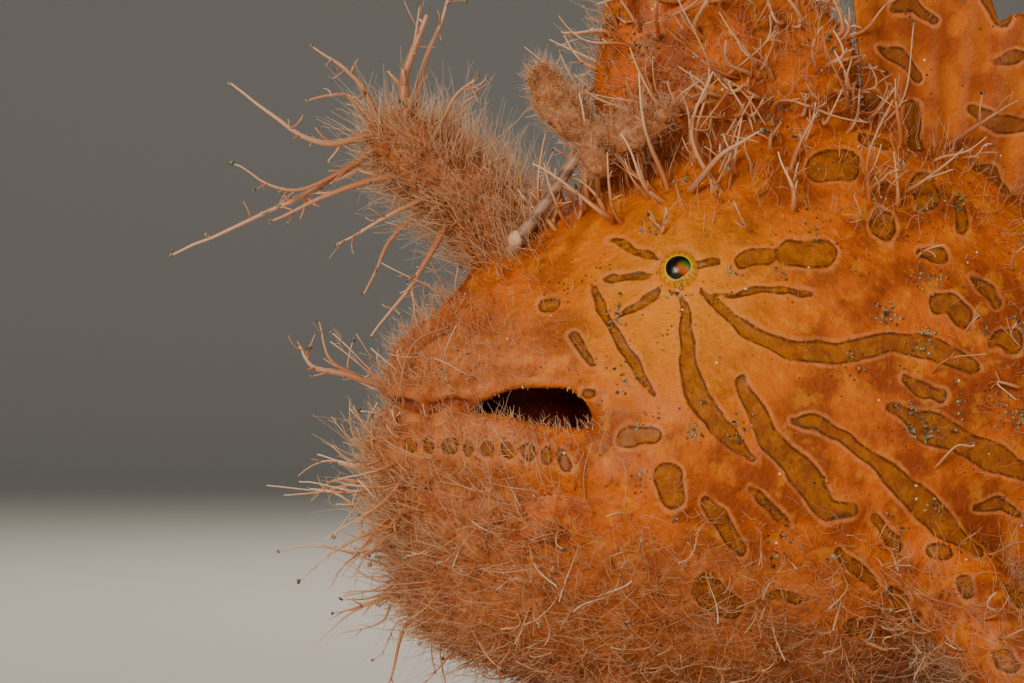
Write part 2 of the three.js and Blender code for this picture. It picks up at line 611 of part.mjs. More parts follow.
// Filaments up the front and sides of the third dorsal spine
function addSailCoat() {
  const draw = stream(23);
  const curve = new THREE.CatmullRomCurve3(SAIL.map((p) => v(...p)));
  const made = [];
  for (let i = 0; i < 20; i++) {
    const share = mix(0.3, 0.93, (i * 0.618034) % 1);
    const angle = i * 1.9;
    const slot = share * (SAIL_RADII.length - 1);
    const below = Math.floor(slot);
    const wide = mix(SAIL_RADII[below], SAIL_RADII[below + 1], slot - below) - 0.3;
    const out = v(-Math.cos(angle) * SAIL_FLATNESS, Math.sin(angle), 0).normalize();
    const offset = v(-Math.cos(angle), Math.sin(angle) * SAIL_FLATNESS, 0).multiplyScalar(wide);
    const root = curve.getPoint(share).add(offset);
    const size = mix(4, 8.5, draw());
    made.push(filament(root, out, size, v(-0.1, 0, 0.6), draw, { forks: i % 3 ? 0 : 1 }));
  }
  grow("third_dorsal_spine", made);
}

addBody();
addThirdSpine();
addSecondSpine();
addRodAndLure();
addMedianFins();
for (const [name, side] of [["left", -1], ["right", 1]]) {
  addPectoral(name, side);
  addPelvic(name, side);
}
addCoat();

// The meshes, centred over the floor on the whole fish's bounding box
const group = new THREE.Group();
const bounds = new THREE.Box3();
for (const [name, { solid: made, colour }] of nodes) {
  const { vertProperties, triVerts } = made.getMesh();
  const geometry = new THREE.BufferGeometry();
  geometry.setAttribute("position", new THREE.BufferAttribute(vertProperties, 3));
  geometry.setIndex(new THREE.BufferAttribute(triVerts, 1));
  geometry.computeVertexNormals();
  const mesh = new THREE.Mesh(geometry, colours[colour]);
  mesh.name = name;
  bounds.expandByObject(mesh);
  group.add(mesh);
}
const middle = bounds.getCenter(v(0, 0, 0));
group.position.set(-middle.x, -middle.y, -bounds.min.z);

export default group;
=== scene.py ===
"""A life-size hairy striated frogfish, perched on its fins with its mouth a little open.

Lengths in the classes are millimetres with the snout at X = 0 and the floor at Z = 0, the head
towards -X and the fish's left side towards -Y. They are turned to metres when a mesh is made.
"""

import logging
import math
from dataclasses import dataclass, field
from enum import Enum
from typing import Callable, Sequence

import bmesh
import bpy
import numpy as np
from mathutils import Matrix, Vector


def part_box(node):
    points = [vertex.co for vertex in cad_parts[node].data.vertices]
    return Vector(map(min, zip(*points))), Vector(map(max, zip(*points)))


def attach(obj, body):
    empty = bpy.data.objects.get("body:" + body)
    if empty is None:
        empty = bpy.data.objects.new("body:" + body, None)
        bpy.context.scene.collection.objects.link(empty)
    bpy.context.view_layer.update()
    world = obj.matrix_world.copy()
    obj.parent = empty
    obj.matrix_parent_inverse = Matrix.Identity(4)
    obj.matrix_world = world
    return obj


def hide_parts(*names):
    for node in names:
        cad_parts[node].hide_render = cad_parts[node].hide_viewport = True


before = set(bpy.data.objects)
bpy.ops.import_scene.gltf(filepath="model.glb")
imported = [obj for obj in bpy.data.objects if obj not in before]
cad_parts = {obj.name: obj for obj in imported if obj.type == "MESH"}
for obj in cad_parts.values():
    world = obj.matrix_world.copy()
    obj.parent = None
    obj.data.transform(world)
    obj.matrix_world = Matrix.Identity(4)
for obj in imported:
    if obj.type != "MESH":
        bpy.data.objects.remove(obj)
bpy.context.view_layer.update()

logging.basicConfig(level=logging.INFO, format="%(message)s")
log = logging.getLogger("frogfish")

MM = 0.001
# Share of a curve on either side of a place, from which its direction is taken.
NUDGE = 0.004
# Triangles that one piece of the coat may hold, and the room left at which a piece is full.
MOST_TRIANGLES, SPARE_TRIANGLES = 180_000, 1_000
# Heights in mm: filaments stay above the first, ease off above the second, and gain the third at most.
FLOOR_GAP, TOP, EASE = 0.5, 103.0, 3.6
# Filaments: scatter of their direction and of their lean, and how deep in mm their roots sit.
AWAY_SCATTER, LEAN_SCATTER, ROOT_DEPTH = 0.28, 0.55, 0.35
Array = np.ndarray
Point = tuple[float, float, float]
Plane = tuple[float, float]
Draw = np.random.Generator
Material = bpy.types.Material
Socket = bpy.types.NodeSocket


class Side(Enum):
    """A side of the fish, as the sign of Y."""

    LEFT = -1
    RIGHT = 1


# Helpers


def lattice_noise(points: Array, scale: float, seed: int) -> Array:
    """Smooth repeatable noise.

    Args:
        points: places in mm, one a row.
        scale: size of the noise's lumps in mm.
        seed: which noise.

    Returns:
        One value from -1 to 1 for each point.
    """
    cell = points / scale
    low = np.floor(cell).astype(np.int64)
    part = cell - low
    part = part * part * (3 - 2 * part)
    total = np.zeros(len(points))
    for corner in range(8):
        step = np.array([corner & 1, corner >> 1 & 1, corner >> 2 & 1])
        node = (low + step).astype(np.uint64)
        mixed = node[:, 0] * np.uint64(73856093) ^ node[:, 1] * np.uint64(19349663)
        mixed ^= node[:, 2] * np.uint64(83492791) ^ np.uint64(seed * 2654435761 % 2**32)
        mixed = (mixed ^ (mixed >> np.uint64(13))) * np.uint64(1274126177) & np.uint64(0xFFFFFFFF)
        value = (mixed ^ (mixed >> np.uint64(16))) % np.uint64(10007)
        share = np.where(step, part, 1 - part).prod(axis=1)
        total += share * (value.astype(float) / 5003 - 1)
    return total


def unit(rows: Array) -> Array:
    """Directions of length one.

    Args:
        rows: vectors along the last axis.

    Returns:
        The same vectors, scaled to length one.
    """
    return rows / np.maximum(np.linalg.norm(rows, axis=-1, keepdims=True), 1e-9)


def smoothstep(low: float, high: float, value: Array) -> Array:
    """A soft step from 0 to 1.

    Args:
        low: value where the step starts.
        high: value where it ends.
        value: numbers to pass through it.

    Returns:
        Numbers from 0 to 1.
    """
    t = np.clip((value - low) / (high - low), 0, 1)
    return t * t * (3 - 2 * t)


def spline(points: Sequence[Point], shares: Array) -> Array:
    """Places on a smooth curve through points.

    Args:
        points: the points, in mm.
        shares: how far along, from 0 to 1.

    Returns:
        One place for each share.
    """
    knots = np.asarray(points, float)
    padded = np.vstack([2 * knots[0] - knots[1], knots, 2 * knots[-1] - knots[-2]])
    slot = np.clip(shares, 0, 1) * (len(knots) - 1)
    i = np.minimum(slot.astype(int), len(knots) - 2)
    t = (slot - i)[:, None]
    a, b, c, d = (padded[i + k] for k in range(4))
    return 0.5 * (
        2 * b + (c - a) * t + (2 * a - 5 * b + 4 * c - d) * t**2 + (3 * b - a - 3 * c + d) * t**3
    )


def bezier(a: Point, b: Point, c: Point) -> Callable[[Array], Array]:
    """A bow through three control points, as a function of the share along it.

    Args:
        a: the start, in mm.
        b: the middle control point.
        c: the end.

    Returns:
        The function from shares to places.
    """
    start, middle, end = (np.asarray(p, float) for p in (a, b, c))

    def at(share: Array) -> Array:
        """Args: share: shares along the bow. Returns: the places there."""
        s = np.asarray(share)[..., None]
        return start * (1 - s) ** 2 + 2 * middle * s * (1 - s) + end * s**2

    return at


def mirror(points: Sequence[Point], side: Side) -> list[Point]:
    """Points listed for the left side, moved to a side.

    Args:
        points: places on the left side, in mm.
        side: the side wanted.

    Returns:
        The places on that side.
    """
    return [(x, y * -side.value, z) for x, y, z in points]


# The fish's own shape


@dataclass(frozen=True)
class Station:
    """The body's outline at one distance from the snout, in mm."""

    x: float
    top: float
    bottom: float
    half: float


@dataclass(frozen=True)
class Swelling:
    """A soft swelling or hollow, the same on both sides, in mm."""

    at: Point
    reach: float
    push: Point


@dataclass
class BodyForm:
    """The body as a smooth skin over named stations and swellings."""

    length: float = 112.0
    # How much narrower the section is at the back than at the belly, as a share.
    egg: float = 0.2
    # The unwrap's start and span along the body, and the height that it turns round.
    unwrap_start: float = -30.0
    unwrap_span: float = 175.0
    axis_height: float = 42.0
    stations: tuple[Station, ...] = (
        Station(0, 43, 43, 0),
        Station(1, 49.5, 35, 7.5),
        Station(3, 54, 26.5, 11),
        Station(7, 60, 18.5, 15),
        Station(14, 66, 13.5, 18.3),
        Station(25, 72.5, 10, 21.2),
        Station(40, 79, 8.5, 22.8),
        Station(56, 81, 9.5, 21.4),
        Station(72, 76, 14.5, 17),
        Station(86, 64.5, 22.5, 11.5),
        Station(98, 53, 30, 6.8),
        Station(108, 47.5, 34, 4.2),
        Station(length, 40.5, 40.5, 0),
    )
    swellings: tuple[Swelling, ...] = (
        Swelling((4, 0, 22), 9, (-2.2, 0, -1)),
        Swelling((1, 0, 39), 7, (-1.8, 0, 0)),
        Swelling((3, 0, 52), 5, (-0.8, 0, 0)),
        Swelling((7, 0, 60), 5, (1.4, 0, -0.4)),
        Swelling((33, 20, 38), 15, (0, 2.4, 0)),
        Swelling((26, 18, 44), 4, (0, -1.4, 0)),
        Swelling((35, 14, 68), 6, (0, 1.3, 0.8)),
        Swelling((60, 16, 25), 13, (0, 2, -0.6)),
    )

    def __post_init__(self) -> None:
        """Args: none. Works out the curve through the stations."""
        self.knots = self.turn_of(np.array([s.x for s in self.stations], float))
        rows = np.array([(s.top, s.bottom, s.half) for s in self.stations], float)
        ahead = np.minimum(np.arange(len(rows)) + 1, len(rows) - 1)
        behind = np.maximum(np.arange(len(rows)) - 1, 0)
        run = (self.knots[ahead] - self.knots[behind])[:, None]
        self.rows, self.slopes = rows, (rows[ahead] - rows[behind]) / run

    def turn_of(self, x: Array) -> Array:
        """Args: x: distances from the snout in mm. Returns: turns along the length, 0 to 1."""
        return np.arccos(np.clip(1 - 2 * np.asarray(x, float) / self.length, -1, 1)) / np.pi

    def outline(self, turn: Array) -> Array:
        """Args: turn: turns from 0 to 1. Returns: top, bottom and half width, one a row."""
        i = np.clip(np.searchsorted(self.knots, turn, side="right") - 1, 0, len(self.knots) - 2)
        span = (self.knots[i + 1] - self.knots[i])[:, None]
        t = (turn[:, None] - self.knots[i][:, None]) / span
        start = self.rows[i] + self.slopes[i] * span * t * (1 - t) ** 2
        rise = (self.rows[i + 1] - self.rows[i]) * t * t * (3 - 2 * t)
        return start + rise - self.slopes[i + 1] * span * t * t * (1 - t)

    def skin(self, turn: Array, angle: Array) -> Array:
        """Places on the skin.

        Args:
            turn: turns along the length, 0 at the snout and 1 at the tail.
            angle: angles round it, 0 on the back and pi on the belly, below 0 on the left.

        Returns:
            The places in mm, one a row.
        """
        turn, angle = np.atleast_1d(turn).astype(float), np.atleast_1d(angle).astype(float)
        turn, angle = np.broadcast_arrays(turn, angle)
        top, bottom, half = self.outline(turn).T
        up = np.cos(angle)
        p = np.stack(
            [
                self.length * (1 - np.cos(np.pi * turn)) / 2,
                half * np.sin(angle) * (1 - self.egg * up),
                (top + bottom) / 2 + (top - bottom) / 2 * up,
            ],
            axis=-1,
        )
        side = np.tanh(p[:, 1] / 3)
        for swelling in self.swellings:
            away = np.abs(p * [0, 1, 0]) + p * [1, 0, 1] - swelling.at
            lift = np.exp(-((np.linalg.norm(away, axis=1) / swelling.reach) ** 2))
            push = np.asarray(swelling.push, float)
            p = p + lift[:, None] * push * np.stack([np.ones_like(side), side, np.ones_like(side)], -1)
        return p

    def place(self, x: float, angle: float) -> tuple[Array, Array]:
        """A place on the skin and its outward direction.

        Args:
            x: distance from the snout in mm.
            angle: angle round the body.

        Returns:
            The place and the direction.
        """
        turn, step = float(self.turn_of(x)), 0.01
        along = self.skin(turn + step, angle)[0] - self.skin(turn - step, angle)[0]
        round_ = self.skin(turn, angle + step)[0] - self.skin(turn, angle - step)[0]
        return self.skin(turn, angle)[0], unit(np.cross(along, round_))

    def angle_at(self, x: float, z: float, side: Side) -> float:
        """The angle at which the skin reaches a height.

        Args:
            x: distance from the snout in mm.
            z: height in mm.
            side: which side of the fish.

        Returns:
            The angle, below 0 on the left.
        """
        angles = np.linspace(0, np.pi, 400)
        heights = self.skin(np.full(400, float(self.turn_of(x))), angles)[:, 2]
        return side.value * float(angles[np.argmin(np.abs(heights - z))])

    def unwrap(self, points: Array) -> Array:
        """An unwrap of the body by distance along it and angle round it.

        Args:
            points: places in mm.

        Returns:
            Coordinates from 0 to 1, one pair a row.
        """
        along = np.clip((points[:, 0] - self.unwrap_start) / self.unwrap_span, 0.01, 0.99)
        around = np.arctan2(points[:, 1], points[:, 2] - self.axis_height) / (2 * np.pi) + 0.5
        return np.stack([along, np.clip(around, 0.01, 0.99)], -1)


FORM = BodyForm()


@dataclass(frozen=True)
class Eye:
    """An eye's place in side view and its size, in mm."""

    x: float = 35.4
    z: float = 62.4
    radius: float = 2.75
    showing: float = 1.15

    def centre(self, side: Side) -> tuple[Array, Array, Array]:
        """Args: side: the side. Returns: the eyeball's centre, outward direction, skin place."""
        point, out = FORM.place(self.x, FORM.angle_at(self.x, self.z, side))
        return point + out * (self.showing - self.radius), out, point


EYE = Eye()


def frame_shift() -> Array:
    """Args: none. Returns: what to add in mm to bring the fish's own places into the frame."""
    low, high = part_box("eye_left")
    middle = (np.array(low) + np.array(high)) / 2 / MM
    return np.round(middle - EYE.centre(Side.LEFT)[0], 2) * [1, 0, 0]


SHIFT = frame_shift()


# Meshes


def to_metres(points: Array) -> Array:
    """Args: points: the fish's places in mm. Returns: the places in the frame, in metres."""
    return (np.asarray(points, float) + SHIFT) * MM


def new_object(name: str, data: bpy.types.ID) -> bpy.types.Object:
    """Args: name, data: of a new object. Returns: the object, in the scene."""
    made = bpy.data.objects.new(name, data)
    bpy.context.scene.collection.objects.link(made)
    return made


def add_piece(name: str, mesh: bpy.types.Mesh, material: Material, *nodes: str) -> bpy.types.Object:
    """Adds a mesh to the scene as a piece of the fish.

    Args:
        name: the piece's name.
        mesh: its mesh, in metres.
        material: its finish.
        nodes: the CAD nodes that it replaces.

    Returns:
        The new object.
    """
    mesh.materials.clear()
    mesh.materials.append(material)
    mesh.polygons.foreach_set("use_smooth", np.ones(len(mesh.polygons), bool))
    piece = new_object(name, mesh)
    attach(piece, "root")
    if nodes:
        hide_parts(*nodes)
    log.info("%s: %d faces", name, len(mesh.polygons))
    return piece


def set_values(mesh: bpy.types.Mesh, name: str, values: Array) -> None:
    """Stores one number for each vertex, for the materials to read.

    Args:
        mesh: the mesh.
        name: the attribute's name.
        values: the numbers.
    """
    attribute = mesh.attributes.new(name, "FLOAT", "POINT")
    attribute.data.foreach_set("value", np.ascontiguousarray(values, np.float32))


def vertices_of(mesh: bpy.types.Mesh) -> Array:
    """Args: mesh: a mesh in metres. Returns: its vertices in the fish's own mm."""
    flat = np.empty(len(mesh.vertices) * 3)
    mesh.vertices.foreach_get("co", flat)
    return flat.reshape(-1, 3) / MM - SHIFT


def normals_of(mesh: bpy.types.Mesh) -> Array:
    """Args: mesh: a mesh. Returns: the outward direction at each vertex."""
    flat = np.empty(len(mesh.vertices) * 3)
    mesh.vertices.foreach_get("normal", flat)
    return flat.reshape(-1, 3)


def map_vertices(verts: Sequence[bmesh.types.BMVert], move: Callable[[Array], Array]) -> None:
    """Moves vertices by a function.

    Args:
        verts: the vertices.
        move: takes their places, one a row, and gives the new ones in mm.
    """
    placed = to_metres(move(np.array([v.co for v in verts], float)))
    for vert, co in zip(verts, placed):
        vert.co = co


def sweep(
    bm: bmesh.types.BMesh,
    points: Sequence[Point],
    radii: Sequence[float],
    sides: int = 24,
    steps: int = 40,
    squash: float = 1.0,
    up: Point = (0, 1, 0),
) -> None:
    """Adds a closed round limb along a curve.

    Args:
        bm: the mesh to add to.
        points: the curve's points in mm.
        radii: radii spread evenly along it.
        sides: sides round it.
        steps: steps along it.
        squash: its thickness as a share of its width.
        up: the direction that its flat side looks along.
    """
    grid = bmesh.ops.create_grid(bm, x_segments=sides, y_segments=steps, size=1)["verts"]

    def wrap(co: Array) -> Array:
        """Args: co: places on a square from -1 to 1. Returns: places on the limb, in mm."""
        angle, share = (co[:, 0] + 1) * np.pi, (co[:, 1] + 1) / 2
        tangent = unit(spline(points, share + NUDGE) - spline(points, share - NUDGE))
        across = unit(np.cross(np.asarray(up, float), tangent))
        side = np.cross(across, tangent)
        radius = np.interp(share, np.linspace(0, 1, len(radii)), radii)
        cap = np.sqrt(np.clip(1 - (np.abs(share - 0.5) * 2) ** 14, 0, 1))[:, None]
        ring = across * np.cos(angle)[:, None] + side * np.sin(angle)[:, None] * squash
        return spline(points, share) + ring * radius[:, None] * cap

    map_vertices(grid, wrap)
    bmesh.ops.remove_doubles(bm, verts=grid, dist=1e-6)
    bmesh.ops.recalc_face_normals(bm, faces=bm.faces)


def ball(bm: bmesh.types.BMesh, centre: Array, radii: Sequence[float], detail: int = 24) -> None:
    """Adds an ellipsoid.

    Args:
        bm: the mesh to add to.
        centre: its centre in mm.
        radii: its three radii in mm.
        detail: sides round it.
    """
    made = bmesh.ops.create_uvsphere(bm, u_segments=detail, v_segments=detail, radius=1)["verts"]
    map_vertices(made, lambda co: co * np.asarray(radii, float) + np.asarray(centre, float))


def finish_mesh(bm: bmesh.types.BMesh, name: str) -> bpy.types.Mesh:
    """Turns a built mesh into mesh data, its normals outward.

    Args:
        bm: the built mesh, which is freed.
        name: the data's name.

    Returns:
        The mesh data.
    """
    bmesh.ops.recalc_face_normals(bm, faces=bm.faces)
    mesh = bpy.data.meshes.new(name)
    bm.to_mesh(mesh)
    bm.free()
    return mesh


def evaluated(mesh: bpy.types.Mesh, *modifiers: dict) -> bpy.types.Mesh:
    """The mesh as some modifiers leave it.

    Args:
        mesh: the mesh to start from.
        modifiers: each a dictionary of a modifier's type and its settings.

    Returns:
        New mesh data.
    """
    scratch = new_object("scratch", mesh)
    for number, settings in enumerate(modifiers):
        modifier = scratch.modifiers.new(str(number), settings.pop("type"))
        for key, value in settings.items():
            setattr(modifier, key, value)
    graph = bpy.context.evaluated_depsgraph_get()
    made = bpy.data.meshes.new_from_object(scratch.evaluated_get(graph))
    bpy.data.objects.remove(scratch)
    return made


# Materials


def linear(code: str) -> tuple[float, float, float, float]:
    """Args: code: an sRGB colour such as "c8763a". Returns: the linear colour with alpha 1."""
    shares = [int(code[i : i + 2], 16) / 255 for i in (0, 2, 4)]
    parts = [c / 12.92 if c <= 0.04045 else ((c + 0.055) / 1.055) ** 2.4 for c in shares]
    return parts[0], parts[1], parts[2], 1.0


class Shader:
    """A material under construction: adds nodes with their settings and links."""

    def __init__(self, name: str, **sockets: object) -> None:
        """Starts a material with a Principled node.

        Args:
            name: the material's name.
            sockets: constant values of the Principled node, by socket name with _ for a space.
        """
        self.material = bpy.data.materials.new(name)
        self.material.use_nodes = True
        self.tree = self.material.node_tree
        self.principled = self.tree.nodes["Principled BSDF"]
        for key, value in sockets.items():
            self.principled.inputs[key.replace("_", " ")].default_value = value

    def add(self, kind: str, settings: dict | None = None, **inputs: object) -> bpy.types.Node:
        """Adds a node.

        Args:
            kind: the node's type, without its ShaderNode prefix.
            settings: the node's own properties.
            inputs: input sockets by name, with _ for a space, or i0, i1 by number; a socket links.

        Returns:
            The node.
        """
        node = self.tree.nodes.new("ShaderNode" + kind)
        for key, value in (settings or {}).items():
            setattr(node, key, value)
        for key, value in inputs.items():
            number = key[1:].isdigit() and key[0] == "i"
            socket = node.inputs[int(key[1:]) if number else key.replace("_", " ")]
            if isinstance(value, Socket):
                self.tree.links.new(value, socket)
            else:
                socket.default_value = value
        return node

    def attribute(self, name: str) -> Socket:
        """Args: name: a stored attribute. Returns: its value."""
        return self.add("Attribute", {"attribute_name": name}).outputs["Fac"]

    def place(self) -> Socket:
        """Args: none. Returns: the place on the object, in metres."""
        return self.add("TexCoord").outputs["Object"]

    def noise(self, size: float, detail: float = 3.0, roughness: float = 0.55) -> Socket:
        """Args: size: lump size in mm, with detail and roughness. Returns: noise round 0.5."""
        scale = 1 / (size * MM)
        inputs = {"Scale": scale, "Detail": detail, "Roughness": roughness}
        node = self.add("TexNoise", None, Vector=self.place(), **inputs)
        return node.outputs["Fac"]

    def ramp(self, value: Socket, *stops: tuple[float, str]) -> Socket:
        """Args: value: what to read; stops: positions and sRGB colours. Returns: the colour."""
        node = self.add("ValToRGB", None, Fac=value)
        ramp = node.color_ramp
        while len(ramp.elements) < len(stops):
            ramp.elements.new(0.5)
        for element, (position, code) in zip(ramp.elements, stops):
            element.position, element.color = position, linear(code)
        return node.outputs["Color"]

    def mix(self, share: object, a: object, b: object) -> Socket:
        """Args: share: how much of b; a, b: sRGB codes or sockets. Returns: the mixed colour."""
        a, b = (linear(c) if isinstance(c, str) else c for c in (a, b))
        node = self.add("Mix", {"data_type": "RGBA"}, i0=share, i6=a, i7=b)
        return node.outputs[2]

    def scale(self, value: Socket, low: float, high: float, to: Plane = (0, 1)) -> Socket:
        """Args: value and its range low to high; to: the new range. Returns: the clamped value."""
        settings = {"interpolation_type": "SMOOTHSTEP"}
        inputs = {"From_Min": low, "From_Max": high, "To_Min": to[0], "To_Max": to[1]}
        return self.add("MapRange", settings, Value=value, **inputs).outputs["Result"]

    def math(self, operation: str, a: object, b: object = 0.0) -> Socket:
        """Args: operation: a Math node's operation on a and b. Returns: the result."""
        return self.add("Math", {"operation": operation}, i0=a, i1=b).outputs[0]

    def colour(self, socket: Socket) -> None:
        """Args: socket: the colour to use as base colour."""
        self.tree.links.new(socket, self.principled.inputs["Base Color"])

    def bump(self, height: Socket, depth: float) -> None:
        """Args: height: a height from 0 to 1; depth: its depth in mm."""
        node = self.add("Bump", None, Height=height, Strength=1.0, Distance=depth * MM)
        self.tree.links.new(node.outputs["Normal"], self.principled.inputs["Normal"])


@dataclass(frozen=True)
class WetSkin:
    """Thin slimy fish skin: mottled orange, with striped fill, dark outline and pale raised rim."""

    orange: str = "c25c06"
    deep: str = "8e3c04"
    light: str = "d8820f"
    # Painted light: a lighter, more golden ground round the eye, where the light falls brightest.
    gold: str = "e08a0a"
    pale: str = "b87040"
    rosy: str = "96502a"
    fill: str = "7e4306"
    fill_light: str = "99590a"
    # The mouth's inner colour; along the closed lips' seam it is also painted shade in their slit.
    mouth: str = "6e2414"
    outline: str = "3e1c05"
    rim: str = "cc7c42"

    def make(self) -> Material:
        """Args: none. Returns: the material. Wet, softly see-through skin glows at thin edges."""
        s = Shader(
            "frogfish_skin_wet",
            Roughness=0.5,
            Specular_IOR_Level=0.18,
            Subsurface_Weight=0.12,
            Subsurface_Radius=(1.0, 0.35, 0.12),
            Subsurface_Scale=1.2 * MM,
            Coat_Weight=0.06,
            Coat_Roughness=0.25,
        )
        ground = s.mix(s.scale(s.noise(7, 4), 0.42, 0.6), self.orange, self.deep)
        ground = s.mix(s.scale(s.noise(2.2, 4), 0.5, 0.68, (0, 0.5)), ground, self.light)
        # Painted light: the ground is lightened to gold round the eye, as a pool of light.
        ground = s.mix(s.attribute("gold"), ground, self.gold)
        chest = s.mix(s.scale(s.noise(3.0, 4), 0.4, 0.65), self.pale, self.rosy)
        ground = s.mix(s.attribute("pale"), ground, chest)
        stripe = s.attribute("stripe")
        filled = s.mix(s.scale(s.noise(1.4, 3), 0.4, 0.6), self.fill, self.fill_light)
        ground = self.marked(s, stripe, ground, filled)
        # The mouth's inner colour, also laid along the closed lips' seam as painted shade in the slit.
        ground = s.mix(s.attribute("inside"), ground, self.mouth)
        ground = self.grains(s, ground)
        s.colour(ground)
        pits = s.math("ADD", s.noise(0.8, 3), s.math("MULTIPLY", s.noise(3.5, 2), 1.5))
        s.bump(pits, 0.35)
        return s.material

    def marked(self, s: Shader, stripe: Socket, ground: Socket, fill: object) -> Socket:
        """Paints the markings over a ground.

        Args:
            s: the shader.
            stripe: the distance from a marking's edge, in mm.
            ground: the colour round the markings.
            fill: the colour inside them.

        Returns:
            The colour with fills, broken dark outlines and pale rims.
        """
        broken = s.scale(s.noise(1.1, 3, 0.7), 0.36, 0.52)
        rim = s.math("MULTIPLY", s.scale(stripe, 0.0, 0.16), s.scale(stripe, 0.62, 0.3))
        rim = s.math("MULTIPLY", rim, s.scale(s.noise(4, 2), 0.35, 0.6, (0.12, 0.62)))
        ground = s.mix(rim, ground, self.rim)
        ground = s.mix(s.scale(stripe, 0.06, -0.1, (0, 0.8)), ground, fill)
        line = s.math("MULTIPLY", s.scale(stripe, -0.42, -0.16), s.scale(stripe, 0.08, -0.06))
        return s.mix(s.math("MULTIPLY", s.math("MULTIPLY", line, 0.75), broken), ground, self.outline)

    @staticmethod
    def grains(s: Shader, ground: Socket) -> Socket:
        """Adds sand grains caught on the skin.

        Args:
            s: the shader.
            ground: the colour below them.

        Returns:
            The colour with dark and white grains, in loose clusters.
        """
        cells = s.add("TexVoronoi", None, Vector=s.place(), Scale=1 / (0.55 * MM))
        lot = s.add("SeparateColor", None, Color=cells.outputs["Color"])
        near = s.scale(cells.outputs["Distance"], 0.34, 0.26)
        cluster = s.scale(s.noise(6, 3, 0.7), 0.5, 0.62)
        chosen = s.math("GREATER_THAN", lot.outputs[0], 0.74)
        dark = s.math("MULTIPLY", s.math("MULTIPLY", near, cluster), chosen)
        ground = s.mix(s.math("MULTIPLY", dark, 0.85), ground, "2b2016")
        bright = s.math("GREATER_THAN", lot.outputs[1], 0.996)
        return s.mix(s.math("MULTIPLY", near, bright), ground, "d9cbb4")


@dataclass(frozen=True)
class Filament:
    """Soft, half see-through skin filaments, rosy at the root and paler towards the tip."""

    name: str
    root: str
    middle: str
    tip: str

    def make(self) -> Material:
        """Args: none. Returns: the material. Thin flesh lets light through and shines a little."""
        s = Shader(
            self.name,
            Roughness=0.4,
            Specular_IOR_Level=0.4,
            Subsurface_Weight=0.3,
            Subsurface_Radius=(1.0, 0.5, 0.3),
            Subsurface_Scale=0.8 * MM,
        )
        ground = s.ramp(s.attribute("along"), (0.0, self.root), (0.45, self.middle), (1.0, self.tip))
        shade = s.mix(s.attribute("lot"), "ffffff", "d6a880")
        tinted = s.add("Mix", {"data_type": "RGBA", "blend_type": "MULTIPLY"}, i0=0.75, i6=ground, i7=shade)
        s.colour(tinted.outputs[2])
        return s.material


@dataclass(frozen=True)
class Grit:
    """Bits of sand and weed caught on the filament tips."""

    def make(self) -> Material:
        """Args: none. Returns: the material. Dull, grainy olive, grey and cream specks."""
        s = Shader("caught_grit", Roughness=0.85)
        stops = ((0.3, "2e2a22"), (0.45, "575139"), (0.58, "a89e80"), (0.68, "241f18"))
        s.colour(s.ramp(s.noise(0.7, 2), *stops))
        return s.material


@dataclass(frozen=True)
class FinSkin:
    """Fin web and rays: thinner orange skin with dark spots."""

    def make(self) -> Material:
        """Args: none. Returns: the material. The web is paler and glows; the rays are darker."""
        s = Shader(
            "fin_skin",
            Roughness=0.5,
            Specular_IOR_Level=0.2,
            Subsurface_Weight=0.14,
            Subsurface_Radius=(1.0, 0.35, 0.12),
            Subsurface_Scale=1.4 * MM,
        )
        web = s.mix(s.scale(s.noise(5, 4), 0.42, 0.6), "c0640c", "9a4606")
        web = s.mix(s.math("MULTIPLY", s.attribute("ray"), 0.5), web, "843c06")
        web = WetSkin().marked(s, s.attribute("stripe"), web, "7d430a")
        s.colour(WetSkin.grains(s, web))
        s.bump(s.noise(0.9, 3), 0.3)
        return s.material


@dataclass(frozen=True)
class Iris:
    """A gold iris ring with fine rays round a dark pupil, which holds a painted green and orange reflection.
    """

    pupil: float = 1.52

    def make(self) -> Material:
        """Args: none. Returns: the material. The ring is bright gold; the pupil is deep, with a painted
        reflection.
        """
        s = Shader("iris_gold", Roughness=0.25, Specular_IOR_Level=0.5)
        radius = s.attribute("radius")
        ring = s.mix(s.scale(s.attribute("streak"), 0.45, 0.75), "ffb000", "d88404")
        ring = s.mix(s.scale(radius, self.pupil + 0.3, self.pupil + 0.1), ring, "ffd21e")
        ring = s.mix(s.scale(radius, 2.3, 2.5), ring, "7a3f08")
        # Painted reflection in the pupil: orange towards the front and bottom, green and then dark green
        # towards the back and top.
        pupil_reflection = s.mix(s.scale(s.attribute("pupil_reflection"), 0.38, 0.66), "d8620c", "4f8f1c")
        pupil_reflection = s.mix(s.scale(s.attribute("pupil_reflection"), 0.7, 1.0), pupil_reflection, "0f3a16")
        pupil = s.mix(s.scale(s.attribute("rim"), 0.35, 1.2), pupil_reflection, "040503")
        s.colour(s.mix(s.scale(radius, self.pupil - 0.06, self.pupil + 0.03), pupil, ring))
        return s.material


@dataclass(frozen=True)
class Cornea:
    """The clear wet front of the eye."""

    def make(self) -> Material:
        """Args: none. Returns: the material. Clear, sharp highlights."""
        s = Shader("cornea_clear", Roughness=0.05, IOR=1.37, Alpha=0.2, Base_Color=linear("1a1208"))
        return s.material


@dataclass(frozen=True)
class LureSkin:
    """The worm-like lure: lumpy tan and pinkish flesh, blotched with orange and brown."""

    def make(self) -> Material:
        """Args: none. Returns: the material. Soft, blotched and half see-through."""
        s = Shader(
            "lure_skin",
            Roughness=0.55,
            Subsurface_Weight=0.3,
            Subsurface_Radius=(1.0, 0.5, 0.3),
            Subsurface_Scale=1.0 * MM,
        )
        stops = ((0.36, "6b3a18"), (0.46, "9c5a24"), (0.55, "b37a4e"), (0.66, "8c5238"))
        s.colour(s.ramp(s.noise(2.6, 5, 0.6), *stops))
        s.bump(s.noise(0.7, 4), 0.5)
        return s.material


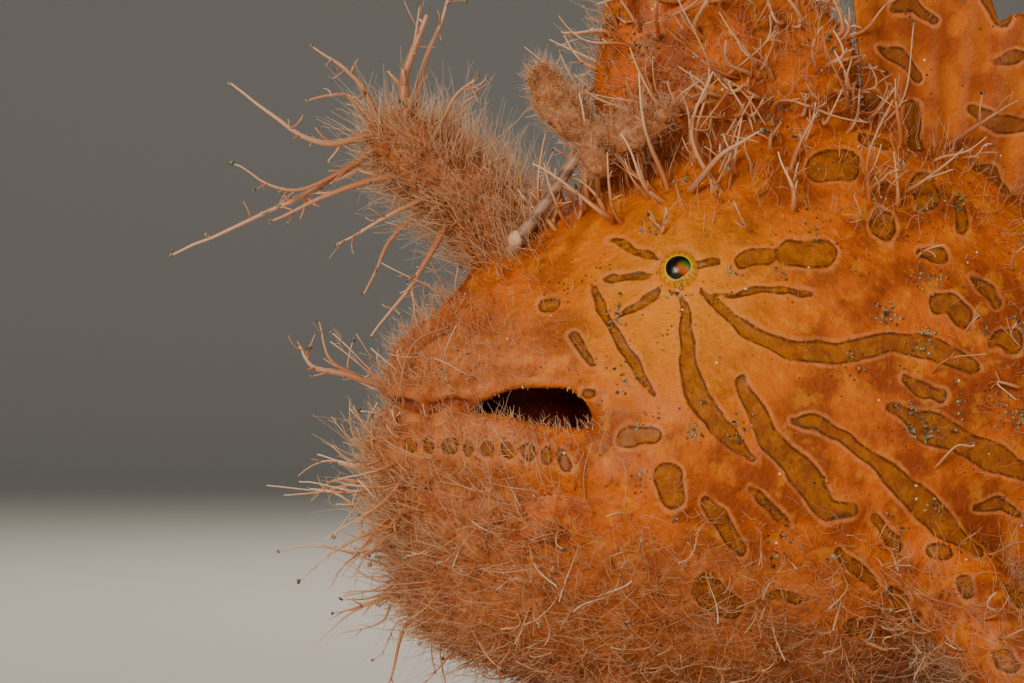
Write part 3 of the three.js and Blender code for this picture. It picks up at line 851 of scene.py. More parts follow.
@dataclass(frozen=True)
class RodSkin:
    """The thin banded skin of the fishing rod."""

    def make(self) -> Material:
        """Args: none. Returns: the material. Pale, half clear, with brown rings."""
        s = Shader(
            "rod_skin_banded",
            Roughness=0.45,
            Subsurface_Weight=0.5,
            Subsurface_Radius=(1.0, 0.7, 0.6),
            Subsurface_Scale=1.0 * MM,
        )
        wave = s.math("SINE", s.math("MULTIPLY", s.attribute("along"), 36.0))
        s.colour(s.mix(s.scale(wave, -0.2, 0.9, (0, 0.75)), "a07c64", "5c3c2a"))
        return s.material


# Markings


@dataclass(frozen=True)
class Stripe:
    """One marking as a chain of points in side view with its half width at both ends, in mm."""

    line: tuple[Plane, ...]
    start: float
    end: float


@dataclass
class Markings:
    """The stripes that fan out from the eye and the blotches behind, in side view."""

    # In mm: how far from an edge distances are told, and the clear ground between blotches.
    far: float = 3.0
    apart: float = 3.6
    # How many blotches are tried on the rear of the body.
    tries: int = 900
    seed: int = 8
    face: tuple[Stripe, ...] = (
        Stripe(((35.4, 59.4), (36.4, 53.4), (37.2, 47.4), (39.6, 43.8), (43.6, 40.2)), 0.8, 1.4),
        Stripe(((25.1, 60.2), (28.4, 54.0), (31.9, 47.8)), 0.7, 0.7),
        Stripe(((33.4, 60.2), (28.8, 56.9)), 0.5, 0.5),
        Stripe(((32.5, 61.9), (26.2, 61.1)), 0.5, 0.5),
        Stripe(((33.5, 63.5), (27.4, 65.6)), 0.5, 0.5),
        Stripe(((37.6, 63.0), (40.0, 63.4)), 0.5, 0.5),
        Stripe(((43.2, 63.6), (45.7, 63.7)), 1.1, 1.1),
        Stripe(((48.5, 64.0), (52.4, 64.1)), 1.6, 1.6),
        Stripe(
            ((38.2, 60.0), (43.0, 55.2), (47.8, 52.8), (53.8, 52.2),
             (58.6, 53.4), (65.8, 52.8), (70.6, 50.4)),
            0.7,
            1.7,
        ),
        Stripe(((40.1, 59.4), (50.9, 59.4)), 0.4, 0.4),
        Stripe(((42.4, 49.4), (45.4, 43.2), (48.8, 39.4), (52.1, 34.2), (55.3, 34.2)), 1.3, 1.6),
        Stripe(((48.6, 45.0), (54.4, 43.0), (58.9, 39.4), (63.5, 34.8), (69.4, 29.6)), 0.6, 1.8),
        Stripe(((60.2, 45.8), (65.2, 43.6), (71.8, 40.6), (76.6, 38.4)), 1.6, 1.8),
        Stripe(((33.7, 38.4), (33.8, 35.8)), 1.6, 1.6),
        Stripe(((38.4, 35.0), (42.0, 29.8)), 1.8, 1.4),
        Stripe(((43.2, 36.5), (47.8, 32.4)), 0.6, 0.6),
        Stripe(((38.2, 25.2), (41.0, 22.8)), 1.8, 1.7),
        Stripe(((46.3, 24.2), (49.0, 23.3)), 0.8, 0.8),
        Stripe(((54.2, 29.8), (58.1, 25.2)), 1.0, 1.1),
        Stripe(((58.1, 32.8), (60.8, 30.0)), 0.8, 0.7),
        Stripe(((55.6, 20.3), (55.9, 20.1)), 1.1, 1.1),
        Stripe(((60.0, 24.5), (63.1, 21.4)), 1.1, 1.3),
        Stripe(((65.4, 29.6), (65.7, 29.4)), 0.9, 0.9),
        Stripe(((68.4, 25.7), (68.5, 24.7)), 0.8, 0.8),
        Stripe(((19.7, 58.4), (20.9, 58.4)), 0.8, 0.8),
        Stripe(((22.6, 54.2), (24.7, 51.4)), 0.7, 0.5),
        Stripe(((24.2, 47.9), (25.0, 47.8)), 0.6, 0.6),
        Stripe(((29.0, 42.6), (32.2, 42.5)), 1.1, 1.0),
        Stripe(((65.2, 82.8), (65.3, 77.8)), 1.8, 1.8),
        Stripe(((65.5, 72.7), (65.5, 71.3)), 1.6, 1.6),
        Stripe(((69.7, 71.0), (69.7, 67.7)), 0.8, 0.8),
        Stripe(((53.3, 74.9), (55.6, 74.9)), 2.0, 2.0),
    )
    lip_spots: tuple[Stripe, ...] = tuple(
        Stripe(((3.6 + 2.3 * k, 41.8 - 0.02 * k * k), (4.0 + 2.3 * k, 40.9 - 0.02 * k * k)), 0.6, 0.75)
        for k in range(9)
    )

    def __post_init__(self) -> None:
        """Args: none. Fills the rear of the body with blotches like those in front."""
        draw = np.random.default_rng(self.seed)
        stripes = list(self.face + self.lip_spots)
        taken = np.array([p for s in stripes for p in self.chain(s)])
        for _ in range(self.tries):
            x, z = draw.uniform(58, 136), draw.uniform(12, 98)
            slope, length = draw.normal(-0.5, 0.35), draw.uniform(0.5, 9)
            ahead = np.array([math.cos(slope), math.sin(slope)]) * length
            middle = x + ahead[0] * 0.5, z + ahead[1] * 0.5 + draw.normal(0, 0.9)
            ends = (x, z), middle, (x + ahead[0], z + ahead[1])
            made = Stripe(ends, draw.uniform(0.5, 1.5), draw.uniform(0.7, 1.8))
            points = np.array(self.chain(made))
            gap = np.linalg.norm(points[:, None] - taken[None], axis=2).min()
            if gap > self.apart:
                stripes.append(made)
                taken = np.vstack([taken, points])
        self.stripes = stripes

    @staticmethod
    def chain(stripe: Stripe) -> list[Plane]:
        """Args: stripe: a stripe. Returns: points about 1 mm apart along it."""
        line = np.asarray(stripe.line, float)
        made = [tuple(line[0])]
        for a, b in zip(line[:-1], line[1:]):
            steps = max(1, int(np.linalg.norm(b - a)))
            made += [tuple(a + (b - a) * k / steps) for k in range(1, steps + 1)]
        return made

    @staticmethod
    def taper(share: Array, length: float, half: Array) -> Array:
        """How much a marking narrows and swells along its length.

        Args:
            share: shares along it.
            length: its length in mm.
            half: its half-width there, in mm.

        Returns:
            Factors for the half-width; a short blotch keeps its own.
        """
        if length < 4:
            return np.ones_like(share)
        from_end = np.minimum(share, 1 - share) * length / half
        return (0.45 + 0.55 * smoothstep(0, 3.2, from_end)) * (1 + 0.16 * np.sin(share * 9 + length))

    def distance(self, points: Array) -> Array:
        """How far each place is from the nearest marking's edge.

        Args:
            points: places in mm.

        Returns:
            Distances in mm, below 0 inside a marking, kept within 3 mm.
        """
        wobble = np.stack([lattice_noise(points, 3.2, 3), lattice_noise(points, 3.2, 4)], -1) * 0.6
        wobble += np.stack([lattice_noise(points, 1.1, 13), lattice_noise(points, 1.1, 14)], -1) * 0.16
        flat = points[:, [0, 2]] + wobble
        best = np.full(len(points), self.far)
        for stripe in self.stripes:
            line = np.asarray(stripe.line, float)
            reach = max(stripe.start, stripe.end) + self.far
            near = np.all((flat > line.min(0) - reach) & (flat < line.max(0) + reach), axis=1)
            if not near.any():
                continue
            spot = flat[near]
            lengths = np.linalg.norm(np.diff(line, axis=0), axis=1)
            before = np.concatenate([[0], np.cumsum(lengths)])
            value = np.full(len(spot), self.far)
            for k, (a, b) in enumerate(zip(line[:-1], line[1:])):
                t = np.clip((spot - a) @ (b - a) / max(lengths[k] ** 2, 1e-9), 0, 1)
                share = (before[k] + t * lengths[k]) / before[-1]
                half = stripe.start + (stripe.end - stripe.start) * share
                half = half * self.taper(share, before[-1], half)
                value = np.minimum(value, np.linalg.norm(spot - a - t[:, None] * (b - a), axis=1) - half)
            best[near] = np.minimum(best[near], value)
        return best


MARKINGS = Markings()


# Sub-assemblies


@dataclass
class Arm:
    """A pectoral arm from the body to its wrist, in mm on the left side."""

    line: tuple[Point, ...] = ((62, -13, 27), (68, -21, 24), (74, -26, 17), (77, -27.5, 10.5))
    radii: tuple[float, ...] = (8, 6.4, 5.2, 4.4)


@dataclass
class Foot:
    """A pelvic fin's foot, in mm on the left side."""

    line: tuple[Point, ...] = ((31, -7.5, 13), (27.5, -10, 9), (24, -12, 6))
    radii: tuple[float, ...] = (5.4, 4.6, 3.6)


@dataclass
class Sail:
    """The third dorsal spine, a broad fleshy sail behind the lure, in mm."""

    line: tuple[Point, ...] = ((42.5, 0, 71), (42.3, 0, 83), (42, 0, 94), (45, 0, 104.5))
    radii: tuple[float, ...] = (17.5, 16.8, 16.2, 13.8, 1.8)
    flatness: float = 0.37


@dataclass
class Stalk:
    """The second dorsal spine, a stout stalk leaning over the snout, in mm."""

    line: tuple[Point, ...] = ((19, 0, 60), (15, 0, 66.5), (8.5, 0, 73), (2.5, 0, 77.5), (-1.5, 0, 80.5))
    radii: tuple[float, ...] = (7, 5.6, 4.6, 4.2, 2)


@dataclass
class Mouth:
    """The open mouth in side view and the lips along it, in mm."""

    top: tuple[Plane, ...] = (
        (-6, 46.4),
        (10, 46.3),
        (12.4, 46.7),
        (14.5, 47.7),
        (17, 48.5),
        (21.4, 48.5),
        (24, 47.2),
        (25.2, 44.8),
    )
    bottom: tuple[Plane, ...] = (
        (-6, 45.6),
        (10, 45.5),
        (14.2, 45.0),
        (17.8, 44.3),
        (21.4, 43.5),
        (25.2, 43.4),
    )
    core: Point = (11, 9, 7.5)
    lip: float = 1.6

    def lips(self, bm: bmesh.types.BMesh) -> None:
        """Args: bm: the mesh to add both lips to, as soft rolls from corner to corner."""
        for edge, rise, reach in ((self.top, 1.2, 23.6), (self.bottom, -1.3, 23.4)):
            points = []
            for s in np.linspace(-1, 1, 11):
                x = 1.2 + (reach - 1.2) * s * s
                z = float(np.interp(x, *np.array(edge).T)) + rise
                point, out = FORM.place(x, FORM.angle_at(x, z, Side.LEFT if s < 0 else Side.RIGHT))
                if abs(s) < 0.01:
                    point = np.array([point[0] - 0.6, 0, z])
                points.append(tuple(point - out * self.lip * 0.35))
            radii = (self.lip * 0.5, self.lip, self.lip, self.lip, self.lip * 0.5)
            sweep(bm, points, radii, 20, 120, up=(0, 0, 1))

    @property
    def opening(self) -> list[Plane]:
        """Args: none. Returns: the whole outline of the opening in side view."""
        return [*self.top, *reversed(self.bottom)]


@dataclass
class Skin:
    """One skin over the body, jaws, spines and limbs, with its markings and relief, in mm."""

    nodes: tuple[str, ...] = (
        "head",
        "lower_jaw",
        "trunk",
        "tail_stalk",
        "pectoral_arm_left",
        "pectoral_arm_right",
        "third_dorsal_spine",
        "second_dorsal_spine",
    )
    voxel: float = 0.57
    # Relief: a marking's raised rim and sunk fill, the lips' seam, and the eye socket.
    rim_lift: float = 0.14
    fill_sink: float = 0.1
    seam_depth: float = 1.1
    socket_depth: float = 0.4
    socket_reach: float = 2.6
    # Height and distance from the snout that part the second spine from the head.
    spine_from: float = 74
    spine_back: float = 22
    # The ring round an eye, as a share of the eyeball's radius.
    ring_reach: float = 1.07
    # The nostril tubes: distance from the snout, height and size.
    nostrils: tuple[Point, ...] = ((9.5, 57.5, 0.9), (14, 60.5, 0.8))
    mouth: Mouth = field(default_factory=Mouth)
    sail: Sail = field(default_factory=Sail)
    stalk: Stalk = field(default_factory=Stalk)

    def build(self) -> None:
        """Args: none. Joins all the flesh into one closed skin and raises the markings' rims."""
        bm = bmesh.new()
        cut = self.open_body()
        bm.from_mesh(cut)
        ball(bm, (15, 0, 46), self.mouth.core)
        self.mouth.lips(bm)
        sweep(bm, self.sail.line, self.sail.radii, 48, 60, self.sail.flatness)
        sweep(bm, self.stalk.line, self.stalk.radii, 36, 60, 0.9)
        for side in Side:
            sweep(bm, mirror(Arm().line, side), Arm().radii, 32, 40, 0.8)
            sweep(bm, mirror(Foot().line, side), Foot().radii, 28, 24, 0.9)
            self.rims(bm, side)
        closed = finish_mesh(bm, "flesh")
        remesh = {"type": "REMESH", "mode": "VOXEL", "voxel_size": self.voxel * MM}
        smooth = {"type": "SMOOTH", "factor": 0.5, "iterations": 4}
        self.mesh = evaluated(closed, remesh, smooth)
        self.shape()

    def open_body(self) -> bpy.types.Mesh:
        """Args: none. Returns: the body with the mouth cut through it from side to side."""
        body = bmesh.new()
        made = bmesh.ops.create_uvsphere(body, u_segments=96, v_segments=120, radius=1)["verts"]
        map_vertices(
            made,
            lambda co: FORM.skin(
                np.arccos(np.clip(-co[:, 2], -1, 1)) / np.pi, np.arctan2(co[:, 1], co[:, 0] + 1e-12)
            ),
        )
        cutter = bmesh.new()
        corners = [cutter.verts.new(to_metres(np.array([x, -40, z]))) for x, z in self.mouth.opening]
        face = cutter.faces.new(corners)
        moved = bmesh.ops.extrude_face_region(cutter, geom=[face])["geom"]
        far = [v for v in moved if isinstance(v, bmesh.types.BMVert)]
        bmesh.ops.translate(cutter, verts=far, vec=(0, 80 * MM, 0))
        knife = new_object("mouth_cut", finish_mesh(cutter, "mouth_cut"))
        modifier = {"type": "BOOLEAN", "operation": "DIFFERENCE", "solver": "EXACT", "object": knife}
        opened = evaluated(finish_mesh(body, "body"), modifier)
        bpy.data.objects.remove(knife)
        return opened

    def rims(self, bm: bmesh.types.BMesh, side: Side) -> None:
        """Adds the raised ring of skin round an eye and the nostril tubes.

        Args:
            bm: the mesh to add to.
            side: the side of the fish.
        """
        _, out, point = EYE.centre(side)
        first = unit(np.cross(out, [0, 0, 1]))
        second = np.cross(out, first)
        turns = np.linspace(0, 2 * np.pi, 13)
        reach = EYE.radius * self.ring_reach
        ring = [tuple(point + reach * (first * math.cos(a) + second * math.sin(a))) for a in turns]
        for start in (0, 6):
            sweep(bm, ring[start : start + 7], (0.42, 0.42), 12, 24, up=tuple(out))
        for x, z, size in self.nostrils:
            place, away = FORM.place(x, FORM.angle_at(x, z, side))
            line = [tuple(place - away), tuple(place), tuple(place + away * size)]
            sweep(bm, line, (1.2 * size, 0.9 * size, 0.7 * size), 12, 12)

    def shape(self) -> None:
        """Args: none. Works out markings and colours for each vertex, and adds the fine relief."""
        points = vertices_of(self.mesh)
        normals = normals_of(self.mesh)
        stripe = MARKINGS.distance(points)
        spine = (points[:, 2] > self.spine_from) & (points[:, 0] < self.spine_back)
        stripe[spine] = MARKINGS.far
        inside = self.inside(points)
        rim = np.exp(-(((stripe - 0.35) / 0.4) ** 2))
        sunk = smoothstep(0.1, -0.5, stripe)
        lumps = lattice_noise(points, 4.5, 5) * 0.22 + lattice_noise(points, 1.7, 6) * 0.09
        seam = self.seam(points)
        from_eye = np.hypot(points[:, 0] - EYE.x, points[:, 2] - EYE.z)
        socket = np.exp(-((from_eye / self.socket_reach) ** 4)) * (np.abs(points[:, 1]) > 5)
        lumps = (lumps + (rim * self.rim_lift - sunk * self.fill_sink) * (1 - inside)) * (1 - socket)
        lift = lumps + self.folds(points) - self.seam_depth * seam - self.socket_depth * socket
        moved = to_metres(points + normals * lift[:, None])
        self.mesh.vertices.foreach_set("co", moved.ravel())
        self.mesh.update()
        set_values(self.mesh, "stripe", stripe)
        # The closed lips' seam takes the mouth's inner colour too: painted shade in the slit between them.
        set_values(self.mesh, "inside", np.maximum(inside, 0.85 * seam))
        set_values(self.mesh, "pale", self.paleness(points))
        # Painted light: a pool of light round and just below the eye, stored as gold for the ground.
        away = np.hypot(points[:, 0] - EYE.x, points[:, 2] - EYE.z + 4)
        set_values(self.mesh, "gold", 0.75 * np.exp(-((away / 11) ** 2)))

    @staticmethod
    def inside(points: Array) -> Array:
        """Args: points: places in mm. Returns: 1 inside the mouth and 0 on the outer skin."""
        turn = FORM.turn_of(np.clip(points[:, 0], 0.2, FORM.length))
        top, bottom, half = FORM.outline(turn).T
        up = (points[:, 2] - (top + bottom) / 2) / np.maximum((top - bottom) / 2, 0.1)
        reach = half * np.sqrt(np.clip(1 - up**2, 0.0001, 1))
        depth = reach - np.abs(points[:, 1])
        gap = (np.abs(points[:, 2] - 46) < 5) & (points[:, 0] < 25.5)
        return np.where(gap, smoothstep(1.4, 3.0, depth), 0)

    @staticmethod
    def seam(points: Array) -> Array:
        """Args: points: places in mm. Returns: 1 on the closed line of the lips, 0 off it."""
        level = 46.2 + 0.35 * np.sin(points[:, 0] * 0.9) + 0.3 * lattice_noise(points, 2.5, 15)
        return np.exp(-(((points[:, 2] - level) / 0.42) ** 2)) * smoothstep(14.5, 12, points[:, 0])

    @staticmethod
    def folds(points: Array) -> Array:
        """Args: points: places in mm. Returns: the height of the thick lower lip and its crease."""
        x, z = points[:, 0], points[:, 2]
        front = smoothstep(29, 20, x)
        roll = np.exp(-(((z - 40.6 + 0.05 * x) / 2.3) ** 2))
        crease = np.exp(-(((z - 36.4 + 0.02 * x) / 1.1) ** 2))
        snout = np.exp(-(((z - 52.5) / 2.6) ** 2)) * smoothstep(24, 14, x)
        return front * (roll * 1.0 - crease * 0.6) + snout * 0.7

    @staticmethod
    def paleness(points: Array) -> Array:
        """Args: points: places in mm. Returns: 1 on the rosy throat, lips, belly and spine tip."""
        low = smoothstep(36, 18, points[:, 2] + 0.2 * (points[:, 0] - 30) + 4 * lattice_noise(points, 7, 12))
        lips = smoothstep(25, 9, points[:, 0]) * smoothstep(64, 52, points[:, 2])
        spine = smoothstep(66, 74, points[:, 2]) * smoothstep(22, 14, points[:, 0])
        return np.clip(np.maximum(np.maximum(low, lips), spine) * 0.82, 0, 1)

    def dress(self, material: Material) -> None:
        """Args: material: the skin's finish, put on as one piece in place of the flesh nodes."""
        self.piece = add_piece("skin", self.mesh, material, *self.nodes)


@dataclass
class Fin:
    """A fin: a thin curved web between a root line and a tip line, with raised rays."""

    name: str
    root: Callable[[Array], Array]
    middle: Callable[[Array], Array]
    tip: Callable[[Array], Array]
    rays: int
    web: float = 0.45
    ridge: float = 1.5
    notch: float = 0.12
    per_ray: int = 10
    rows: int = 30

    def sheet(self, s: Array, r: Array) -> Array:
        """Args: s: share across; r: share from root to tip. Returns: the web's middle places."""
        a = self.root(s) + (self.middle(s) - self.root(s)) * r[:, None]
        b = self.middle(s) + (self.tip(s) - self.middle(s)) * r[:, None]
        return a + (b - a) * r[:, None]

    def face(self, co: Array, side: int) -> Array:
        """One face of the fin.

        Args:
            co: places on a plain square from -1 to 1.
            side: 1 or -1, for the face.

        Returns:
            The places in mm.
        """
        s, up = (co[:, 0] + 1) / 2, (co[:, 1] + 1) / 2
        ray = 0.5 - 0.5 * np.cos(2 * np.pi * s * self.rays)
        r = up * (1 - self.notch * up * (1 - ray**0.6))
        along = self.sheet(s, r + NUDGE) - self.sheet(s, r - NUDGE)
        spread = self.sheet(np.minimum(s + NUDGE, 1), r) - self.sheet(np.maximum(s - NUDGE, 0), r)
        thick = self.web + (self.ridge - self.web) * ray**2 * (1 - 0.75 * up)
        thick = thick * (1 - 0.5 * up**6)
        out = unit(np.cross(along, spread))
        lumps = lattice_noise(self.sheet(s, r), 3, 9) * 0.12
        return self.sheet(s, r) + out * (side * thick / 2 + lumps)[:, None]

    def build(self) -> bpy.types.Mesh:
        """Args: none. Returns: the fin's mesh with its rays and markings stored."""
        bm = bmesh.new()
        loops, columns = [], self.rays * self.per_ray
        for side in (1, -1):
            made = bmesh.ops.create_grid(bm, x_segments=columns, y_segments=self.rows, size=1)
            grid = made["verts"]
            edges = {e for v in grid for e in v.link_edges if e.is_boundary}
            loops += list(edges)
            map_vertices(grid, lambda co, side=side: self.face(co, side))
        bmesh.ops.bridge_loops(bm, edges=loops)
        mesh = finish_mesh(bm, self.name)
        points = vertices_of(mesh)
        set_values(mesh, "stripe", MARKINGS.distance(points))
        count = (columns + 1) * (self.rows + 1)
        across = np.tile(np.linspace(0, 1, columns + 1), self.rows + 1)
        ray = 0.5 - 0.5 * np.cos(2 * np.pi * across * self.rays)
        values = np.zeros(len(points))
        values[: 2 * count] = np.tile(ray, 2)[: len(values)]
        set_values(mesh, "ray", values)
        return mesh


def median_fins() -> list[Fin]:
    """Args: none. Returns: the dorsal, anal and tail fins, each named for the node that it replaces."""

    def line(x: Array, rise: Array, sway: Array, sink: float = 0.0) -> Array:
        """Args: x: places along the body; rise, sway, sink: shifts in mm. Returns: a line over the back."""
        top = FORM.skin(FORM.turn_of(x), np.zeros_like(x))
        return np.stack([x, sway, top[:, 2] - sink + rise], -1)

    def lean(s: Array) -> Array:
        """Args: s: shares across. Returns: how far the front ray leans to the left, in mm."""
        return -3.6 * (1 - s) ** 4

    def dorsal_tip(s: Array) -> Array:
        """Args: s: shares across. Returns: the dorsal fin's upper edge."""
        rise = 20 - 8 * s + 5 * np.sin(np.pi * s)
        made = line(57.2 + 52.8 * s, rise, lean(s) + 1.6 * np.sin(9 * s))
        return made + np.stack([5 * s, 0 * s, 0 * s], -1)

    dorsal = Fin(
        "dorsal_fin",
        lambda s: line(59.8 + 41.2 * s, 0 * s, 0 * s, 2.0),
        lambda s: line(57.6 + 48.4 * s, 12 - 6 * s, lean(s) + 0.8 * np.sin(9 * s)),
        dorsal_tip,
        12,
        ridge=1.7,
    )

    def anal_root(s: Array) -> Array:
        """Args: s: shares across. Returns: the anal fin's root, just inside the belly."""
        x = 79 + 18 * s
        low = FORM.skin(FORM.turn_of(x), np.full_like(x, np.pi))
        return np.stack([x, 0 * s, low[:, 2] + 2], -1)

    anal = Fin(
        "anal_fin",
        anal_root,
        lambda s: np.stack([85 + 19 * s, np.sin(4 * s), 11 + 11 * s], -1),
        lambda s: np.stack([88 + 21 * s, -np.sin(4 * s), 3.5 + 13.5 * s * s], -1),
        7,
        ridge=1.6,
    )
    tail = Fin(
        "caudal_fin",
        lambda s: np.stack([109.5 + 0 * s, 0 * s, 36.6 + 8 * s], -1),
        lambda s: np.stack([122 + 0 * s, 0 * s - 1.5, 29 + 23 * s], -1),
        lambda s: np.stack([131 + 8.5 * np.sin(np.pi * s), 0 * s - 6, 21 + 39 * s], -1),
        9,
        ridge=1.8,
        notch=0.1,
        rows=40,
    )
    return [dorsal, anal, tail]


# The paired fins as root, middle and tip lines, each three control points in mm on the left side.
HAND = (
    ((73.4, -25.6, 11), (77, -27.2, 9.2), (80.4, -26.2, 11.2)),
    ((68, -31, 7), (77, -37, 6), (89, -31, 8)),
    ((63, -35, 0.45), (78, -49, 0.45), (96, -33, 0.45)),
)
TOES = (
    ((23.5, -10.5, 7), (23, -13.5, 6), (26, -14.6, 6.6)),
    ((16, -12, 4), (16, -20, 4.5), (25, -22, 4)),
    ((8, -12, 0.45), (10, -27, 0.45), (25, -28.5, 0.45)),
)


def paired_fins() -> list[Fin]:
    """Args: none. Returns: hands and feet, which rest on the floor, named for their nodes."""
    made = []
    for side in Side:
        name = side.name.lower()
        hand, toes = ([bezier(*mirror(p, side)) for p in lines] for lines in (HAND, TOES))
        made.append(Fin("pectoral_fin_" + name, *hand, 9, ridge=1.7, web=0.6, notch=0.16))
        made.append(Fin("pelvic_fin_" + name, *toes, 5, ridge=1.9, web=0.7, notch=0.22))
    return made


@dataclass
class Strands:
    """Many tapered filaments as one mesh: the sides round each, and arrays of middle lines and radii."""

    sides: int = 3
    paths: list[Array] = field(default_factory=list)
    radii: list[Array] = field(default_factory=list)

    def add(self, paths: Array, radii: Array) -> None:
        """Adds filaments.

        Args:
            paths: middle lines in mm, as filament by point by three.
            radii: radii in mm, as filament by point.
        """
        self.paths.append(np.asarray(paths, float))
        self.radii.append(np.asarray(radii, float))

    def build(self, name: str, material: Material, seed: int = 1) -> list[bpy.types.Object]:
        """Makes the meshes.

        Args:
            name: the pieces' name.
            material: their finish.
            seed: seed of the filaments' tints.

        Returns:
            One or more pieces, each below the triangle limit.
        """
        draw = np.random.default_rng(seed)
        pieces: list[bpy.types.Object] = []
        batch: list[tuple[Array, Array]] = []
        used = 0
        groups = [(p, r) for p, r in zip(self.paths, self.radii) if len(p)]
        for paths, radii in groups:
            cost = 2 * self.sides * (paths.shape[1] - 1) + 2 * self.sides
            start = 0
            while start < len(paths):
                room = max(1, (MOST_TRIANGLES - used) // cost)
                take = min(room, len(paths) - start)
                batch.append((paths[start : start + take], radii[start : start + take]))
                used += take * cost
                start += take
                if used > MOST_TRIANGLES - SPARE_TRIANGLES:
                    pieces.append(self.piece(f"{name}_{len(pieces) + 1}", material, batch, draw))
                    batch, used = [], 0
        if batch:
            pieces.append(self.piece(f"{name}_{len(pieces) + 1}", material, batch, draw))
        return pieces

    def piece(
        self, name: str, material: Material, batch: list[tuple[Array, Array]], draw: Draw
    ) -> bpy.types.Object:
        """Makes one mesh of filaments.

        Args:
            name: the piece's name.
            material: its finish.
            batch: pairs of middle lines and radii.
            draw: the random draw of tints.

        Returns:
            The piece.
        """
        rows = [self.tube(paths, radii) for paths, radii in batch]
        corners, faces, along, lot, patch, base = [], [], [], [], [], 0
        for (points, quads, share), (paths, _) in zip(rows, batch):
            corners.append(points)
            faces.append(quads + base)
            along.append(share)
            each = len(points) // len(paths)
            lot.append(np.repeat(draw.uniform(0, 1, len(paths)), each))
            roots = FORM.unwrap(paths[:, 0])
            turn = np.tile(np.tile(np.arange(self.sides) / self.sides, paths.shape[1]), len(paths))
            spot = np.stack([turn - 0.5, share - 0.5], -1) * 0.003
            patch.append(np.repeat(roots, each, axis=0) + spot)
            base += len(points)
        points, quads = to_metres(np.vstack(corners)), np.vstack(faces)
        mesh = bpy.data.meshes.new(name)
        mesh.vertices.add(len(points))
        mesh.vertices.foreach_set("co", points.ravel())
        mesh.loops.add(quads.size)
        mesh.loops.foreach_set("vertex_index", quads.ravel().astype(np.int32))
        mesh.polygons.add(len(quads))
        mesh.polygons.foreach_set("loop_start", np.arange(0, quads.size, 4, dtype=np.int32))
        mesh.update(calc_edges=True)
        set_values(mesh, "along", np.concatenate(along))
        set_values(mesh, "lot", np.concatenate(lot))
        layer = mesh.uv_layers.new(name="OFBake")
        layer.data.foreach_set("uv", np.vstack(patch)[quads.ravel()].astype(np.float32).ravel())
        mesh.validate()
        return add_piece(name, mesh, material)

    def tube(self, paths: Array, radii: Array) -> tuple[Array, Array, Array]:
        """Args: paths and radii of filaments. Returns: corners, quads and the share along each."""
        count, rings = paths.shape[:2]
        tangent = unit(np.gradient(paths, axis=1))
        chord = unit(paths[:, -1] - paths[:, 0])
        spare = np.where(np.abs(chord[:, 2:3]) < 0.8, [[0, 0, 1.0]], [[1.0, 0, 0]])
        first = unit(np.cross(tangent, spare[:, None, :]))
        second = np.cross(tangent, first)
        angle = np.arange(self.sides) * 2 * np.pi / self.sides
        ring = first[:, :, None] * np.cos(angle)[:, None] + second[:, :, None] * np.sin(angle)[:, None]
        points = paths[:, :, None] + ring * radii[:, :, None, None]
        grid = np.arange(count * rings * self.sides).reshape(count, rings, self.sides)
        near, far = grid[:, :-1], grid[:, 1:]
        quads = np.stack([near, np.roll(near, -1, 2), np.roll(far, -1, 2), far], -1)
        share = np.broadcast_to(np.linspace(0, 1, rings)[None, :, None], grid.shape)
        return points.reshape(-1, 3), quads.reshape(-1, 4), share.ravel()


@dataclass(frozen=True)
class Patch:
    """A stretch of the coat: how dense, how long and which way the filaments lie, in mm."""

    name: str
    weight: Callable[[Array, Array], Array]
    count: int
    length: tuple[float, float]
    radius: float
    lean: Point
    curl: float
    steps: int = 5
    seed: int = 1
    under_lip: bool = False


@dataclass
class Coat:
    """The skin filaments, scattered over the built skin that they grow from."""

    skin: Skin

    def __post_init__(self) -> None:
        """Args: none. Measures the skin's triangles."""
        mesh = self.skin.mesh
        mesh.calc_loop_triangles()
        corners = np.empty(len(mesh.loop_triangles) * 3, np.int32)
        mesh.loop_triangles.foreach_get("vertices", corners)
        self.points = vertices_of(mesh)
        self.corners = corners.reshape(-1, 3)
        a, b, c = (self.points[self.corners[:, k]] for k in range(3))
        cross = np.cross(b - a, c - a)
        self.areas = np.linalg.norm(cross, axis=1) / 2
        self.normals = unit(cross)
        self.centres = (a + b + c) / 3
        self.outer = 1 - Skin.inside(self.centres)
        x, z = self.centres[:, 0], self.centres[:, 2]
        self.under_lip = (z > 44.5) & (z < 53) & (x < 27) & (self.normals[:, 2] < 0.05)

    def roots(self, patch: Patch, draw: Draw) -> tuple[Array, Array]:
        """Args: patch and its random draw. Returns: root places and outward directions."""
        weight = self.areas * patch.weight(self.centres, self.normals) * self.outer
        weight = weight * (self.under_lip == patch.under_lip)
        picked = draw.choice(len(weight), patch.count, p=weight / weight.sum())
        u, w = draw.uniform(0, 1, (2, patch.count))
        swap = u + w > 1
        u, w = np.where(swap, 1 - u, u), np.where(swap, 1 - w, w)
        a, b, c = (self.points[self.corners[picked, k]] for k in range(3))
        return a + (b - a) * u[:, None] + (c - a) * w[:, None], self.normals[picked]

    def lines(self, patch: Patch) -> tuple[Array, Array]:
        """Args: patch: a stretch of coat. Returns: the filaments' middle lines and radii."""
        log.info("%s: %d filaments", patch.name, patch.count)
        draw = np.random.default_rng(patch.seed)
        root, out = self.roots(patch, draw)
        length = draw.uniform(*patch.length, patch.count) * draw.choice([0.6, 1, 1.15], patch.count)
        return bend(root, out, length, patch, draw)


def kept_height(z: Array) -> Array:
    """Args: z: heights in mm. Returns: the heights, kept off the floor and eased below the top."""
    return np.where(z > TOP, TOP + EASE * np.tanh((z - TOP) / EASE), np.maximum(z, FLOOR_GAP))


